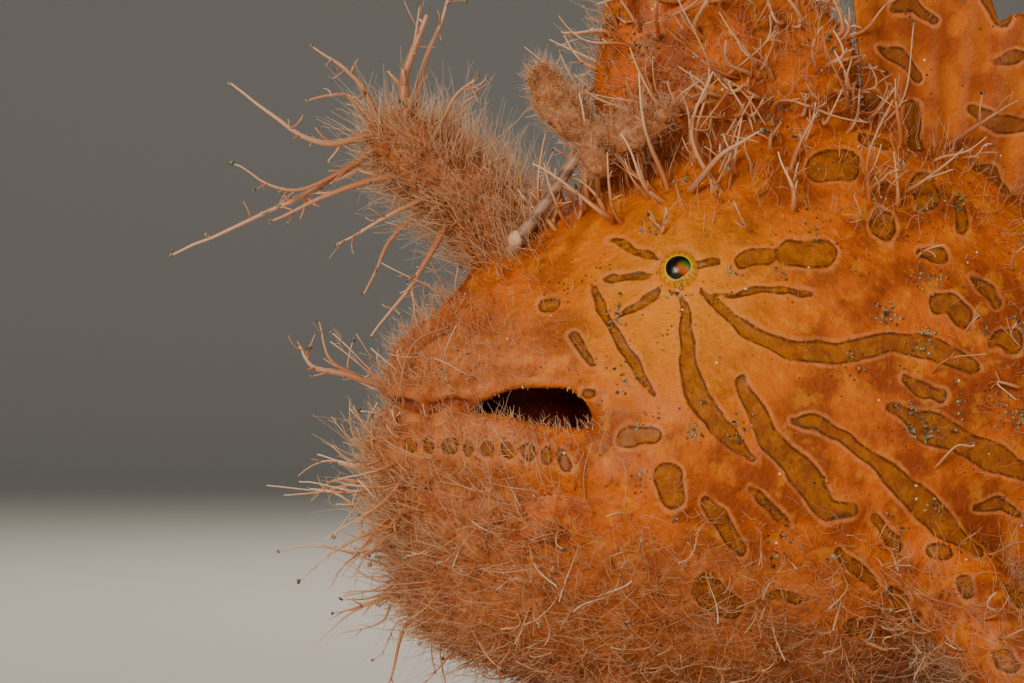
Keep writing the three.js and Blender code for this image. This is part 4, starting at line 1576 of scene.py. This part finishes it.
def bend(root: Array, out: Array, length: Array, patch: Patch, draw: Draw) -> tuple[Array, Array]:
    """Middle lines of filaments that lean, curl and waver.

    Args:
        root: root places in mm.
        out: outward directions.
        length: lengths in mm.
        patch: how they lie.
        draw: the random draw.

    Returns:
        The lines and their radii.
    """
    count = len(root)
    t = np.linspace(0, 1, patch.steps + 1)[None, :, None]
    away = unit(out + draw.normal(0, AWAY_SCATTER, (count, 3)))
    side = unit(np.cross(away, draw.normal(0, 1, (count, 3))))
    hook = unit(np.asarray(patch.lean, float) + draw.normal(0, LEAN_SCATTER, (count, 3)))
    size = length[:, None, None]
    wave = np.sin(t * draw.uniform(3, 7, (count, 1, 1)) + draw.uniform(0, 6, (count, 1, 1)))
    wave = (wave - wave[:, :1]) * draw.uniform(0.05, 0.2, (count, 1, 1))
    path = root[:, None] - away[:, None] * ROOT_DEPTH + size * (
        away[:, None] * t * (1 - 0.35 * patch.curl * t)
        + hook[:, None] * patch.curl * t**2
        + side[:, None] * wave
    )
    path[:, :, 2] = kept_height(path[:, :, 2])
    radius = patch.radius * draw.uniform(0.7, 1.3, (count, 1)) * (0.2 + 0.8 * (1 - t[:, :, 0]) ** 1.3)
    return path, np.broadcast_to(radius, path.shape[:2])


# The coat by region: each weight is 0 to 1 over places p with outward directions n, in mm.
COAT = (
    Patch(
        "throat",
        lambda p, n: smoothstep(42, 20, p[:, 2] + 0.15 * (p[:, 0] - 20)) * smoothstep(88, 74, p[:, 0]),
        count=11500, length=(1.8, 6.0), radius=0.068, lean=(-0.4, 0, 0.5), curl=0.9, steps=6, seed=21,
    ),
    Patch(
        "lips",
        lambda p, n: smoothstep(28, 8, p[:, 0]) * smoothstep(63, 54, p[:, 2]),
        count=6500, length=(0.7, 2.6), radius=0.055, lean=(-0.35, 0, 0.8), curl=0.8, steps=5, seed=22,
    ),
    Patch(
        "cheek",
        lambda p, n: smoothstep(100, 60, p[:, 0])
        * smoothstep(20, 40, p[:, 2])
        * smoothstep(84, 70, p[:, 2]),
        count=2600, length=(0.5, 1.6), radius=0.045, lean=(0.3, 0, 0.2), curl=0.6, steps=4, seed=23,
    ),
    Patch(
        "nape",
        lambda p, n: smoothstep(64, 72, p[:, 2])
        * smoothstep(16, 24, p[:, 0])
        * smoothstep(104, 70, p[:, 0]),
        count=1700, length=(1.2, 4.2), radius=0.075, lean=(0.1, 0, 0.9), curl=0.7, steps=6, seed=24,
    ),
    Patch(
        "lip_fringe",
        lambda p, n: (p[:, 0] > 12) * (p[:, 2] > 47),
        count=150, length=(0.2, 0.6), radius=0.26, lean=(-0.1, 0, -1.0), curl=0.4, steps=5, seed=28,
        under_lip=True,
    ),
    Patch(
        "lower_lip",
        lambda p, n: (p[:, 0] > 6) * (p[:, 0] < 27) * (p[:, 2] > 40.5) * (p[:, 2] < 45) * (n[:, 2] > 0.1),
        count=420, length=(0.5, 1.4), radius=0.1, lean=(-0.5, 0, 0.8), curl=0.9, steps=7, seed=29,
    ),
    Patch(
        "jaw",
        lambda p, n: smoothstep(30, 20, p[:, 0]) * (p[:, 2] > 26) * (p[:, 2] < 41),
        count=260, length=(3, 6.5), radius=0.11, lean=(-0.15, 0, 1.0), curl=1.0, steps=9, seed=30,
    ),
    Patch(
        "rear",
        lambda p, n: smoothstep(64, 84, p[:, 0]),
        count=3200, length=(1.0, 3.2), radius=0.06, lean=(0.8, 0, 0.1), curl=0.6, steps=5, seed=25,
    ),
    Patch(
        "second_spine",
        lambda p, n: smoothstep(60, 68, p[:, 2]) * smoothstep(22, 15, p[:, 0]),
        count=4000, length=(1.6, 6.4), radius=0.075, lean=(-0.3, 0, 0.7), curl=0.75, steps=6, seed=26,
    ),
    Patch(
        "third_spine",
        lambda p, n: smoothstep(80, 84, p[:, 2]) * smoothstep(22, 24, p[:, 0]) * smoothstep(64, 56, p[:, 0]),
        count=1500, length=(1.4, 5.0), radius=0.075, lean=(-0.3, 0, 0.7), curl=0.8, steps=7, seed=27,
    ),
)


@dataclass(frozen=True)
class Cirrus:
    """A long branched filament: the places that it passes and its root radius, in mm."""

    line: tuple[Point, ...]
    radius: float
    twigs: int = 6


# Points along a cirrus, and the cirri on the second spine, the snout and the back.
CIRRUS_POINTS = 15
TASSELS = (
    Cirrus(((4, -1, 76), (2.2, -1, 85), (5, -1.5, 94)), 1.5, 10),
    Cirrus(((2.4, -1, 86), (3.4, -1.4, 89.5), (4.2, -1.8, 95)), 0.5, 3),
    Cirrus(((3, 1.5, 77), (4.5, 2.5, 88), (8, 3, 97)), 0.8, 8),
    Cirrus(((-0.5, -1, 80), (-3.5, -1.5, 86), (-9, -3, 90)), 0.6, 7),
    Cirrus(((-1, 1.4, 80), (-5, 3, 84.5), (-10, 5, 84)), 0.55, 6),
    Cirrus(((-1, -1, 79.5), (-9, -2, 78.5), (-19, -3, 85.5)), 0.7, 9),
    Cirrus(((0, -0.5, 78.5), (-10, -1, 72), (-26.5, 0, 64.5)), 0.75, 9),
    Cirrus(((-3.4, -1, 75.9), (-11, -3, 72.4), (-19, -3, 75.5)), 0.45, 5),
    Cirrus(((3.5, -2, 74.5), (-4, -3, 73), (-14, -5, 68.5)), 0.85, 8),
    Cirrus(((6, -2.5, 72), (1, -4.5, 69.5), (-6, -5, 65.5)), 0.6, 6),
    Cirrus(((8, -2.5, 69), (4, -5.5, 62), (-1.5, -6, 54.5)), 0.65, 7),
    Cirrus(((3, 2.5, 75), (-3, 6, 75.5), (-12, 9, 72)), 0.7, 7),
    Cirrus(((7, 3, 71.5), (1, 7, 67.5), (-3, 9.5, 60)), 0.65, 7),
    Cirrus(((5, -2.5, 77), (8.5, -4, 83.5), (11.5, -5, 86)), 0.5, 5),
    Cirrus(((5, 2.5, 77), (8.5, 5, 82.5), (11, 6.5, 85)), 0.5, 5),
)
SNOUT = (
    Cirrus(((2.2, -3.5, 47.6), (-4, -5, 49.6), (-8.6, -5.6, 50.8), (-10.5, -6, 53.4)), 0.75, 9),
    Cirrus(((-2.6, -4.8, 49.2), (-6.6, -5.4, 51.6), (-8, -5.4, 56.2)), 0.4, 3),
    Cirrus(((8, -11, 55.6), (3.6, -9.6, 53.4), (1.2, -8, 46.2)), 0.32, 2),
    Cirrus(((0.4, -4, 42), (-1.2, -5, 40.5), (-1.4, -5.4, 44.6)), 0.5, 1),
)
BACK = (
    Cirrus(((37, -12.6, 72), (41, -15.5, 76.5), (45.4, -15, 79)), 0.55, 2),
    Cirrus(((68, 0, 77), (73, -4, 80.5), (77.5, -5, 83.4)), 0.5, 5),
)


def grow_cirri(strands: Strands, cirri: Sequence[Cirrus], seed: int) -> Array:
    """Adds long filaments with side twigs.

    Args:
        strands: where to add them.
        cirri: the filaments.
        seed: the random draw's seed.

    Returns:
        Places of the tips, for the grit.
    """
    draw = np.random.default_rng(seed)
    tips = []
    for cirrus in cirri:
        share = np.linspace(0, 1, CIRRUS_POINTS)
        path = spline(cirrus.line, share)
        path += np.stack([lattice_noise(path, 3, k) for k in (31, 32, 33)], -1) * 0.35 * share[:, None]
        radius = cirrus.radius * (1 - 0.82 * share**0.7)
        strands.add(path[None], radius[None])
        tips.append(path[-1])
        ahead = unit(np.gradient(path, axis=0))
        for _ in range(cirrus.twigs):
            k = int(draw.integers(3, CIRRUS_POINTS - 1))
            away = unit(ahead[k] * 0.8 + draw.normal(0, 0.75, 3))
            length = draw.uniform(0.8, 3.4)
            t = np.linspace(0, 1, CIRRUS_POINTS)[:, None]
            twig = path[k] + length * (away * t + unit(draw.normal(0, 1, 3) + [0, 0, 0.6]) * 0.35 * t**2)
            strands.add(twig[None], (radius[k] * 0.55 * (1 - 0.75 * t[:, 0]) + 0.02)[None])
            if draw.uniform() < 0.3:
                tips.append(twig[-1])
    return np.array(tips)


# The beard's least radius in mm, and how many side branches each filament has.
THINNEST, BRANCHES = 0.08, 3
# The beard and the longer branched filaments, region by region.
BEARD = (
    Patch(
        "chin",
        lambda p, n: smoothstep(5, 1, p[:, 0]) * (p[:, 2] < 40),
        count=46, length=(6, 12), radius=0.3, lean=(-0.6, 0, -0.5), curl=0.6, steps=12, seed=41,
    ),
    Patch(
        "fringe",
        lambda p, n: (n[:, 2] < 0.1) * smoothstep(80, 60, p[:, 0]) * (p[:, 2] < 34),
        count=330, length=(3, 7), radius=0.15, lean=(-0.35, 0, -0.1), curl=0.7, steps=12, seed=42,
    ),
    Patch(
        "brow",
        lambda p, n: (p[:, 2] > 66) * (p[:, 2] < 84) * smoothstep(18, 22, p[:, 0]) * (p[:, 0] < 64),
        count=110, length=(4, 9), radius=0.4, lean=(0.05, 0, 0.9), curl=0.7, steps=12, seed=43,
    ),
    Patch(
        "forehead",
        lambda p, n: (p[:, 2] > 65)
        * (p[:, 2] < 80)
        * smoothstep(18, 21, p[:, 0])
        * smoothstep(46, 40, p[:, 0]),
        count=52, length=(6, 11), radius=0.42, lean=(0.15, 0, 1.0), curl=0.75, steps=12, seed=47,
    ),
    Patch(
        "sail",
        lambda p, n: (p[:, 2] > 80) * (p[:, 0] > 22),
        count=170, length=(5, 11), radius=0.4, lean=(-0.2, 0, 0.6), curl=0.85, steps=12, seed=44,
    ),
    Patch(
        "flank",
        lambda p, n: (p[:, 0] > 56) * smoothstep(104, 90, p[:, 0]),
        count=100, length=(3.5, 8), radius=0.26, lean=(0.6, 0, 0.3), curl=0.6, steps=12, seed=45,
    ),
    Patch(
        "muzzle",
        lambda p, n: smoothstep(14, 4, p[:, 0]) * (p[:, 2] > 38) * (p[:, 2] < 62),
        count=60, length=(2.5, 6), radius=0.14, lean=(-0.2, 0, 0.9), curl=0.9, steps=12, seed=46,
    ),
)


def grow_beard(strands: Strands, coat: Coat, seed: int) -> Array:
    """Adds the branched beard under the chin and the fringe along throat, belly and head.

    Args:
        strands: where to add them.
        coat: the coat, for places on the skin.
        seed: the random draw's seed.

    Returns:
        Places of the tips.
    """
    tips = []
    for region in BEARD:
        draw = np.random.default_rng(region.seed + seed)
        path, radius = coat.lines(region)
        radius = np.maximum(radius, THINNEST)
        strands.add(path, radius)
        tips.append(path[:, -1][draw.uniform(size=len(path)) < 0.3])
        for _ in range(BRANCHES):
            k = draw.integers(4, 11, len(path))
            start = path[np.arange(len(path)), k]
            ahead = unit(start - path[np.arange(len(path)), k - 2])
            away = unit(ahead + draw.normal(0, 0.5, start.shape))
            t = np.linspace(0, 1, 8)[None, :, None]
            reach = draw.uniform(0.9, 2.6, (len(path), 1, 1))
            stray = draw.normal(0, 0.25, start.shape)
            twig = start[:, None] + reach * (away[:, None] * t + stray[:, None] * t**2)
            twig[:, :, 2] = kept_height(twig[:, :, 2])
            root = radius[np.arange(len(path)), k][:, None] * 0.75
            strands.add(twig, root * (1 - 0.7 * t[:, :, 0]))
    return np.vstack(tips)


def build_grains(name: str, places: Array, sizes: Array, material: Material, draw: Draw) -> None:
    """Adds many small rough grains as one piece.

    Args:
        name: the piece's name.
        places: the grains' centres in mm.
        sizes: their radii in mm.
        material: their finish.
        draw: the random draw for their shapes.
    """
    bm = bmesh.new()
    bmesh.ops.create_icosphere(bm, subdivisions=1, radius=1)
    bm.verts.index_update()
    corners = np.array([v.co[:] for v in bm.verts])
    faces = np.array([[v.index for v in face.verts] for face in bm.faces])
    bm.free()
    count = len(places)
    places = np.maximum(places, [-np.inf, -np.inf, FLOOR_GAP])
    stretch = draw.uniform(0.6, 1.2, (count, 1, 3)) * sizes[:, None, None]
    rough = 1 + draw.normal(0, 0.16, (count, len(corners), 1))
    points = places[:, None] + corners[None] * stretch * rough
    joined = faces[None] + len(corners) * np.arange(count)[:, None, None]
    mesh = bpy.data.meshes.new(name)
    mesh.from_pydata(to_metres(points.reshape(-1, 3)), [], joined.reshape(-1, 3))
    mesh.update()
    add_piece(name, mesh, material)


def grow_grit(tips: Array, material: Material, seed: int = 6) -> None:
    """Adds bits of sand and weed at filament tips.

    Args:
        tips: places in mm.
        material: the grit's finish.
        seed: the random draw's seed.
    """
    draw = np.random.default_rng(seed)
    places = np.repeat(tips, draw.integers(1, 4, len(tips)), axis=0)
    places = places + draw.normal(0, 0.1, places.shape)
    build_grains("caught_grit", places, draw.uniform(0.12, 0.34, len(places)), material, draw)


def grow_sand(coat: Coat, material: Material, clusters: int = 150, seed: int = 7) -> None:
    """Adds loose clusters of sand grains lying on the skin.

    Args:
        coat: the coat, for places on the skin.
        material: the sand's finish.
        clusters: how many clusters.
        seed: the random draw's seed.
    """

    def weight(p: Array, n: Array) -> Array:
        """Args: p, n: places and outward directions. Returns: how much sand lies there."""
        upper = 0.3 + 0.7 * (n[:, 2] > -0.2)
        return smoothstep(22, 34, p[:, 0]) * smoothstep(20, 34, p[:, 2]) * upper

    draw = np.random.default_rng(seed)
    roots, outs = coat.roots(Patch("sand", weight, clusters, (0, 0), 0, (0, 0, 0), 0), draw)
    each = draw.integers(6, 34, clusters)
    spread = np.repeat(draw.uniform(0.4, 1.5, clusters), each)[:, None]
    root, out = np.repeat(roots, each, axis=0), np.repeat(outs, each, axis=0)
    offset = draw.normal(0, 1, root.shape) * spread
    offset -= out * np.sum(offset * out, axis=1)[:, None]
    build_grains("sand_on_skin", root + offset, draw.uniform(0.08, 0.26, len(root)), material, draw)


@dataclass
class Eyes:
    """Both eyes: a golden ball with its pupil, and a clear cornea over it, in mm."""

    inset: float = 0.05
    cover: float = 0.08
    notch_reach: float = 2.1

    def build(self, iris: Material, cornea: Material) -> None:
        """Args: iris, cornea: the two finishes."""
        for side in Side:
            name = "eye_" + side.name.lower()
            centre, out, _ = EYE.centre(side)
            bm = bmesh.new()
            ball(bm, centre, (EYE.radius - self.inset,) * 3, 64)
            mesh = finish_mesh(bm, name)
            points = vertices_of(mesh) - centre
            height = points @ out
            flat = points - height[:, None] * out
            across = unit(np.cross(out, [0, 0, 1]))
            upright = np.cross(across, out)
            u, w = flat @ across, flat @ upright
            rear = points[:, 0]
            notch = smoothstep(-0.1, 0.8, rear * 0.62 - w * 0.78 - 0.85) * 1.2
            span = np.hypot(u, w)
            radius = np.maximum(span, np.minimum(span + notch, self.notch_reach))
            set_values(mesh, "radius", radius + np.where(height > 0, 0, 3))
            set_values(mesh, "rim", np.hypot(rear - 0.3, w + 0.12))
            angle = np.arctan2(w, u)
            streak = 0.5 + 0.25 * np.sin(angle * 17) + 0.25 * np.sin(angle * 29 + 1)
            set_values(mesh, "streak", streak)
            # Painted reflection in the pupil: it grows towards the back and top of the eye.
            set_values(mesh, "pupil_reflection", 0.42 + 0.2 * rear + 0.34 * w)
            piece = add_piece(name, mesh, iris, name)
            clear = bmesh.new()
            ball(clear, centre, (EYE.radius + self.cover,) * 3, 48)
            add_piece("cornea_" + side.name.lower(), finish_mesh(clear, "cornea"), cornea)


@dataclass
class Lure:
    """The rod and the worm-like lure at its end, laid back over the head, in mm."""

    rod: tuple[Point, ...] = ((15.3, -5.8, 63.6), (16.3, -7.2, 66), (20.2, -8.3, 71.4), (24.4, -9.3, 77.6))
    rod_radii: tuple[float, ...] = (0.95, 0.8, 0.72, 0.65)
    rod_foot: float = 63
    rod_rise: float = 15
    knob: Point = (16.1, -7.4, 66.3)
    knob_radii: Point = (0.95, 0.9, 1.05)
    voxel: float = 0.3
    lobes: tuple[tuple[tuple[Point, ...], tuple[float, ...]], ...] = (
        (
            ((24.9, -9.5, 78.2), (22.4, -9.6, 81), (20, -9.2, 84.5), (18.6, -8.8, 88)),
            (1.5, 2.4, 2.6, 2.2, 0.9),
        ),
        (
            ((24.9, -9.5, 78.2), (28, -11, 78.4), (31.2, -12, 79.6), (35, -12, 82.4)),
            (1.6, 2.2, 2.4, 2.0, 0.9),
        ),
        (((24.9, -9.5, 78.2), (25.5, -11.4, 75.6), (26, -12.6, 73.5)), (1.5, 1.9, 1.3, 0.7)),
    )

    def build(self, rod: Material, flesh: Material, fuzz: Material) -> None:
        """Args: rod, flesh, fuzz: finishes of the rod, the lobes and their filaments."""
        bm = bmesh.new()
        sweep(bm, self.rod, self.rod_radii, 20, 60)
        mesh = finish_mesh(bm, "illicium")
        set_values(mesh, "along", (vertices_of(mesh)[:, 2] - self.rod_foot) / self.rod_rise)
        add_piece("illicium", mesh, rod, "illicium")
        knob = bmesh.new()
        ball(knob, np.array(self.knob), self.knob_radii, 24)
        add_piece("illicium_knob", self.plain(knob, "illicium_knob"), fuzz)
        body = bmesh.new()
        for line, radii in self.lobes:
            sweep(body, line, radii, 24, 36)
        remesh = {"type": "REMESH", "mode": "VOXEL", "voxel_size": self.voxel * MM}
        smooth = {"type": "SMOOTH", "factor": 0.5, "iterations": 3}
        made = evaluated(finish_mesh(body, "esca"), remesh, smooth)
        points = vertices_of(made)
        normals = normals_of(made)
        lift = lattice_noise(points, 2.2, 51) * 0.55 + lattice_noise(points, 0.8, 52) * 0.22
        moved = points + normals * lift[:, None]
        made.vertices.foreach_set("co", to_metres(moved).ravel())
        add_piece("esca", made, flesh, "esca")
        self.fluff(moved, normals, fuzz)

    @staticmethod
    def plain(bm: bmesh.types.BMesh, name: str) -> bpy.types.Mesh:
        """Args: bm, name: a built mesh. Returns: mesh data with the filaments' attributes."""
        mesh = finish_mesh(bm, name)
        set_values(mesh, "along", np.full(len(mesh.vertices), 0.9))
        set_values(mesh, "lot", np.full(len(mesh.vertices), 0.1))
        return mesh

    @staticmethod
    def fluff(points: Array, normals: Array, material: Material) -> None:
        """Args: points, normals: the lobes' surface; material: the finish of their fine fuzz."""
        draw = np.random.default_rng(61)
        patch = Patch("lure", lambda p, n: p[:, 0], 2200, (0.5, 2.2), 0.06, (-0.2, 0, 0.5), 0.7, 4, 61)
        picked = draw.choice(len(points), patch.count)
        length = draw.uniform(*patch.length, patch.count)
        strands = Strands()
        strands.add(*bend(points[picked], normals[picked], length, patch, draw))
        strands.build("esca_fuzz", material, 62)


@dataclass(frozen=True)
class Lamp:
    """A soft square light: its place and size in mm, its power in watts and its colour."""

    name: str
    place: Point
    size: float
    power: float
    code: str


@dataclass
class Studio:
    """The pale floor and backdrop, the soft lights and the camera.

    The camera's numbers are in mm, and the floor's, which is far larger than the fish, in metres.
    """

    focus: Point = (15.6, -12.0, 53.8)
    distance: float = 400.0
    lens: float = 117.0
    sensor: float = 36.0
    lit: Point = (45.0, 0, 45)
    lamps: tuple[Lamp, ...] = (
        Lamp("key", (-230, -500, 250), 240, 3.2, "fff0d8"),
        Lamp("fill", (380, -380, 220), 380, 0.7, "fff6ea"),
        Lamp("rim", (60, 380, 420), 260, 1.8, "fff4e6"),
    )
    sky: str = "dcdcdc"
    sky_strength: float = 0.2
    half_width: float = 9.0
    front: float = -1.5
    bend_at: float = 0.9
    bend_radius: float = 0.6
    top: float = 3.0

    def build(self) -> None:
        """Args: none. Sets up floor, lights and camera."""
        self.floor()
        for lamp in self.lamps:
            self.light(lamp)
        world = bpy.data.worlds.new("studio")
        world.use_nodes = True
        world.node_tree.nodes["Background"].inputs["Color"].default_value = linear(self.sky)
        world.node_tree.nodes["Background"].inputs["Strength"].default_value = self.sky_strength
        bpy.context.scene.world = world
        self.camera()

    def floor(self) -> None:
        """Args: none. Adds a pale floor that bends up into a backdrop."""
        bm = bmesh.new()
        low = [bm.verts.new((x, self.front, 0)) for x in (-self.half_width, self.half_width)]
        edge = bm.edges.new(low)
        start, rise = self.bend_at, self.bend_radius
        turns = np.linspace(0.1, math.pi / 2, 14)
        profile = [(start, 0.0)]
        profile += [(start + rise * math.sin(a), rise - rise * math.cos(a)) for a in turns]
        profile.append((start + rise, self.top))
        y, z = self.front, 0.0
        for next_y, next_z in profile:
            moved = bmesh.ops.extrude_edge_only(bm, edges=[edge])["geom"]
            verts = [g for g in moved if isinstance(g, bmesh.types.BMVert)]
            edge = next(g for g in moved if isinstance(g, bmesh.types.BMEdge))
            bmesh.ops.translate(bm, verts=verts, vec=(0, next_y - y, next_z - z))
            y, z = next_y, next_z
        mesh = finish_mesh(bm, "backdrop")
        # Matt pale paper, so that the fish alone carries colour and shine.
        mesh.materials.append(Shader("paper_pale", Roughness=0.9, Base_Color=linear("cfccc6")).material)
        mesh.polygons.foreach_set("use_smooth", np.ones(len(mesh.polygons), bool))
        backdrop = new_object("backdrop", mesh)
        log.info("backdrop: %d faces", len(mesh.polygons))

    def light(self, lamp: Lamp) -> None:
        """Args: lamp: the soft light to add."""
        data = bpy.data.lights.new(lamp.name, "AREA")
        data.size, data.energy, data.color = lamp.size * MM, lamp.power, linear(lamp.code)[:3]
        spot, aim = to_metres(np.array(lamp.place, float)), to_metres(np.array(self.lit, float))
        self.turn(new_object(lamp.name, data), spot, aim)

    def camera(self) -> None:
        """Args: none. Adds the camera, level with the eye and square to the left side."""
        data = bpy.data.cameras.new("camera")
        data.lens, data.sensor_width = self.lens, self.sensor
        data.clip_start, data.clip_end = 0.01, 20
        camera = new_object("camera", data)
        aim = to_metres(np.array(self.focus))
        self.turn(camera, aim + np.array([0, -self.distance * MM, 0]), aim)
        bpy.context.scene.camera = camera

    @staticmethod
    def turn(thing: bpy.types.Object, spot: Array, aim: Array) -> None:
        """Args: thing: an object; spot, aim: where it stands and looks, in metres."""
        thing.location = spot
        thing.rotation_mode = "QUATERNION"
        thing.rotation_quaternion = Vector(aim - spot).to_track_quat("-Z", "Y")


def main() -> None:
    """Args: none. Builds the fish piece by piece, then the studio."""
    skin_finish = WetSkin().make()
    fin_finish = FinSkin().make()
    rosy = Filament("filament_rosy", "b9691f", "cf9468", "ecc9a8").make()
    brown = Filament("filament_brown", "a56c44", "bd8a6a", "dcb79a").make()
    skin = Skin()
    skin.build()
    skin.dress(skin_finish)
    for fin in median_fins() + paired_fins():
        piece = add_piece(fin.name, fin.build(), fin_finish, fin.name)
    Eyes().build(Iris().make(), Cornea().make())
    Lure().build(RodSkin().make(), LureSkin().make(), rosy)
    coat = Coat(skin)
    fine = Strands()
    for patch in COAT:
        fine.add(*coat.lines(patch))
    fine.build("coat", rosy, 2)
    long = Strands(4)
    tips = grow_beard(long, coat, 7)
    long.build("fringe", rosy, 3)
    branched = Strands(6)
    ends = grow_cirri(branched, TASSELS + SNOUT + BACK, 9)
    branched.build("cirri", brown, 4)
    grit = Grit().make()
    grow_grit(np.vstack([tips, ends]), grit)
    grow_sand(coat, grit)
    Studio().build()


if __name__ == "__main__":
    main()
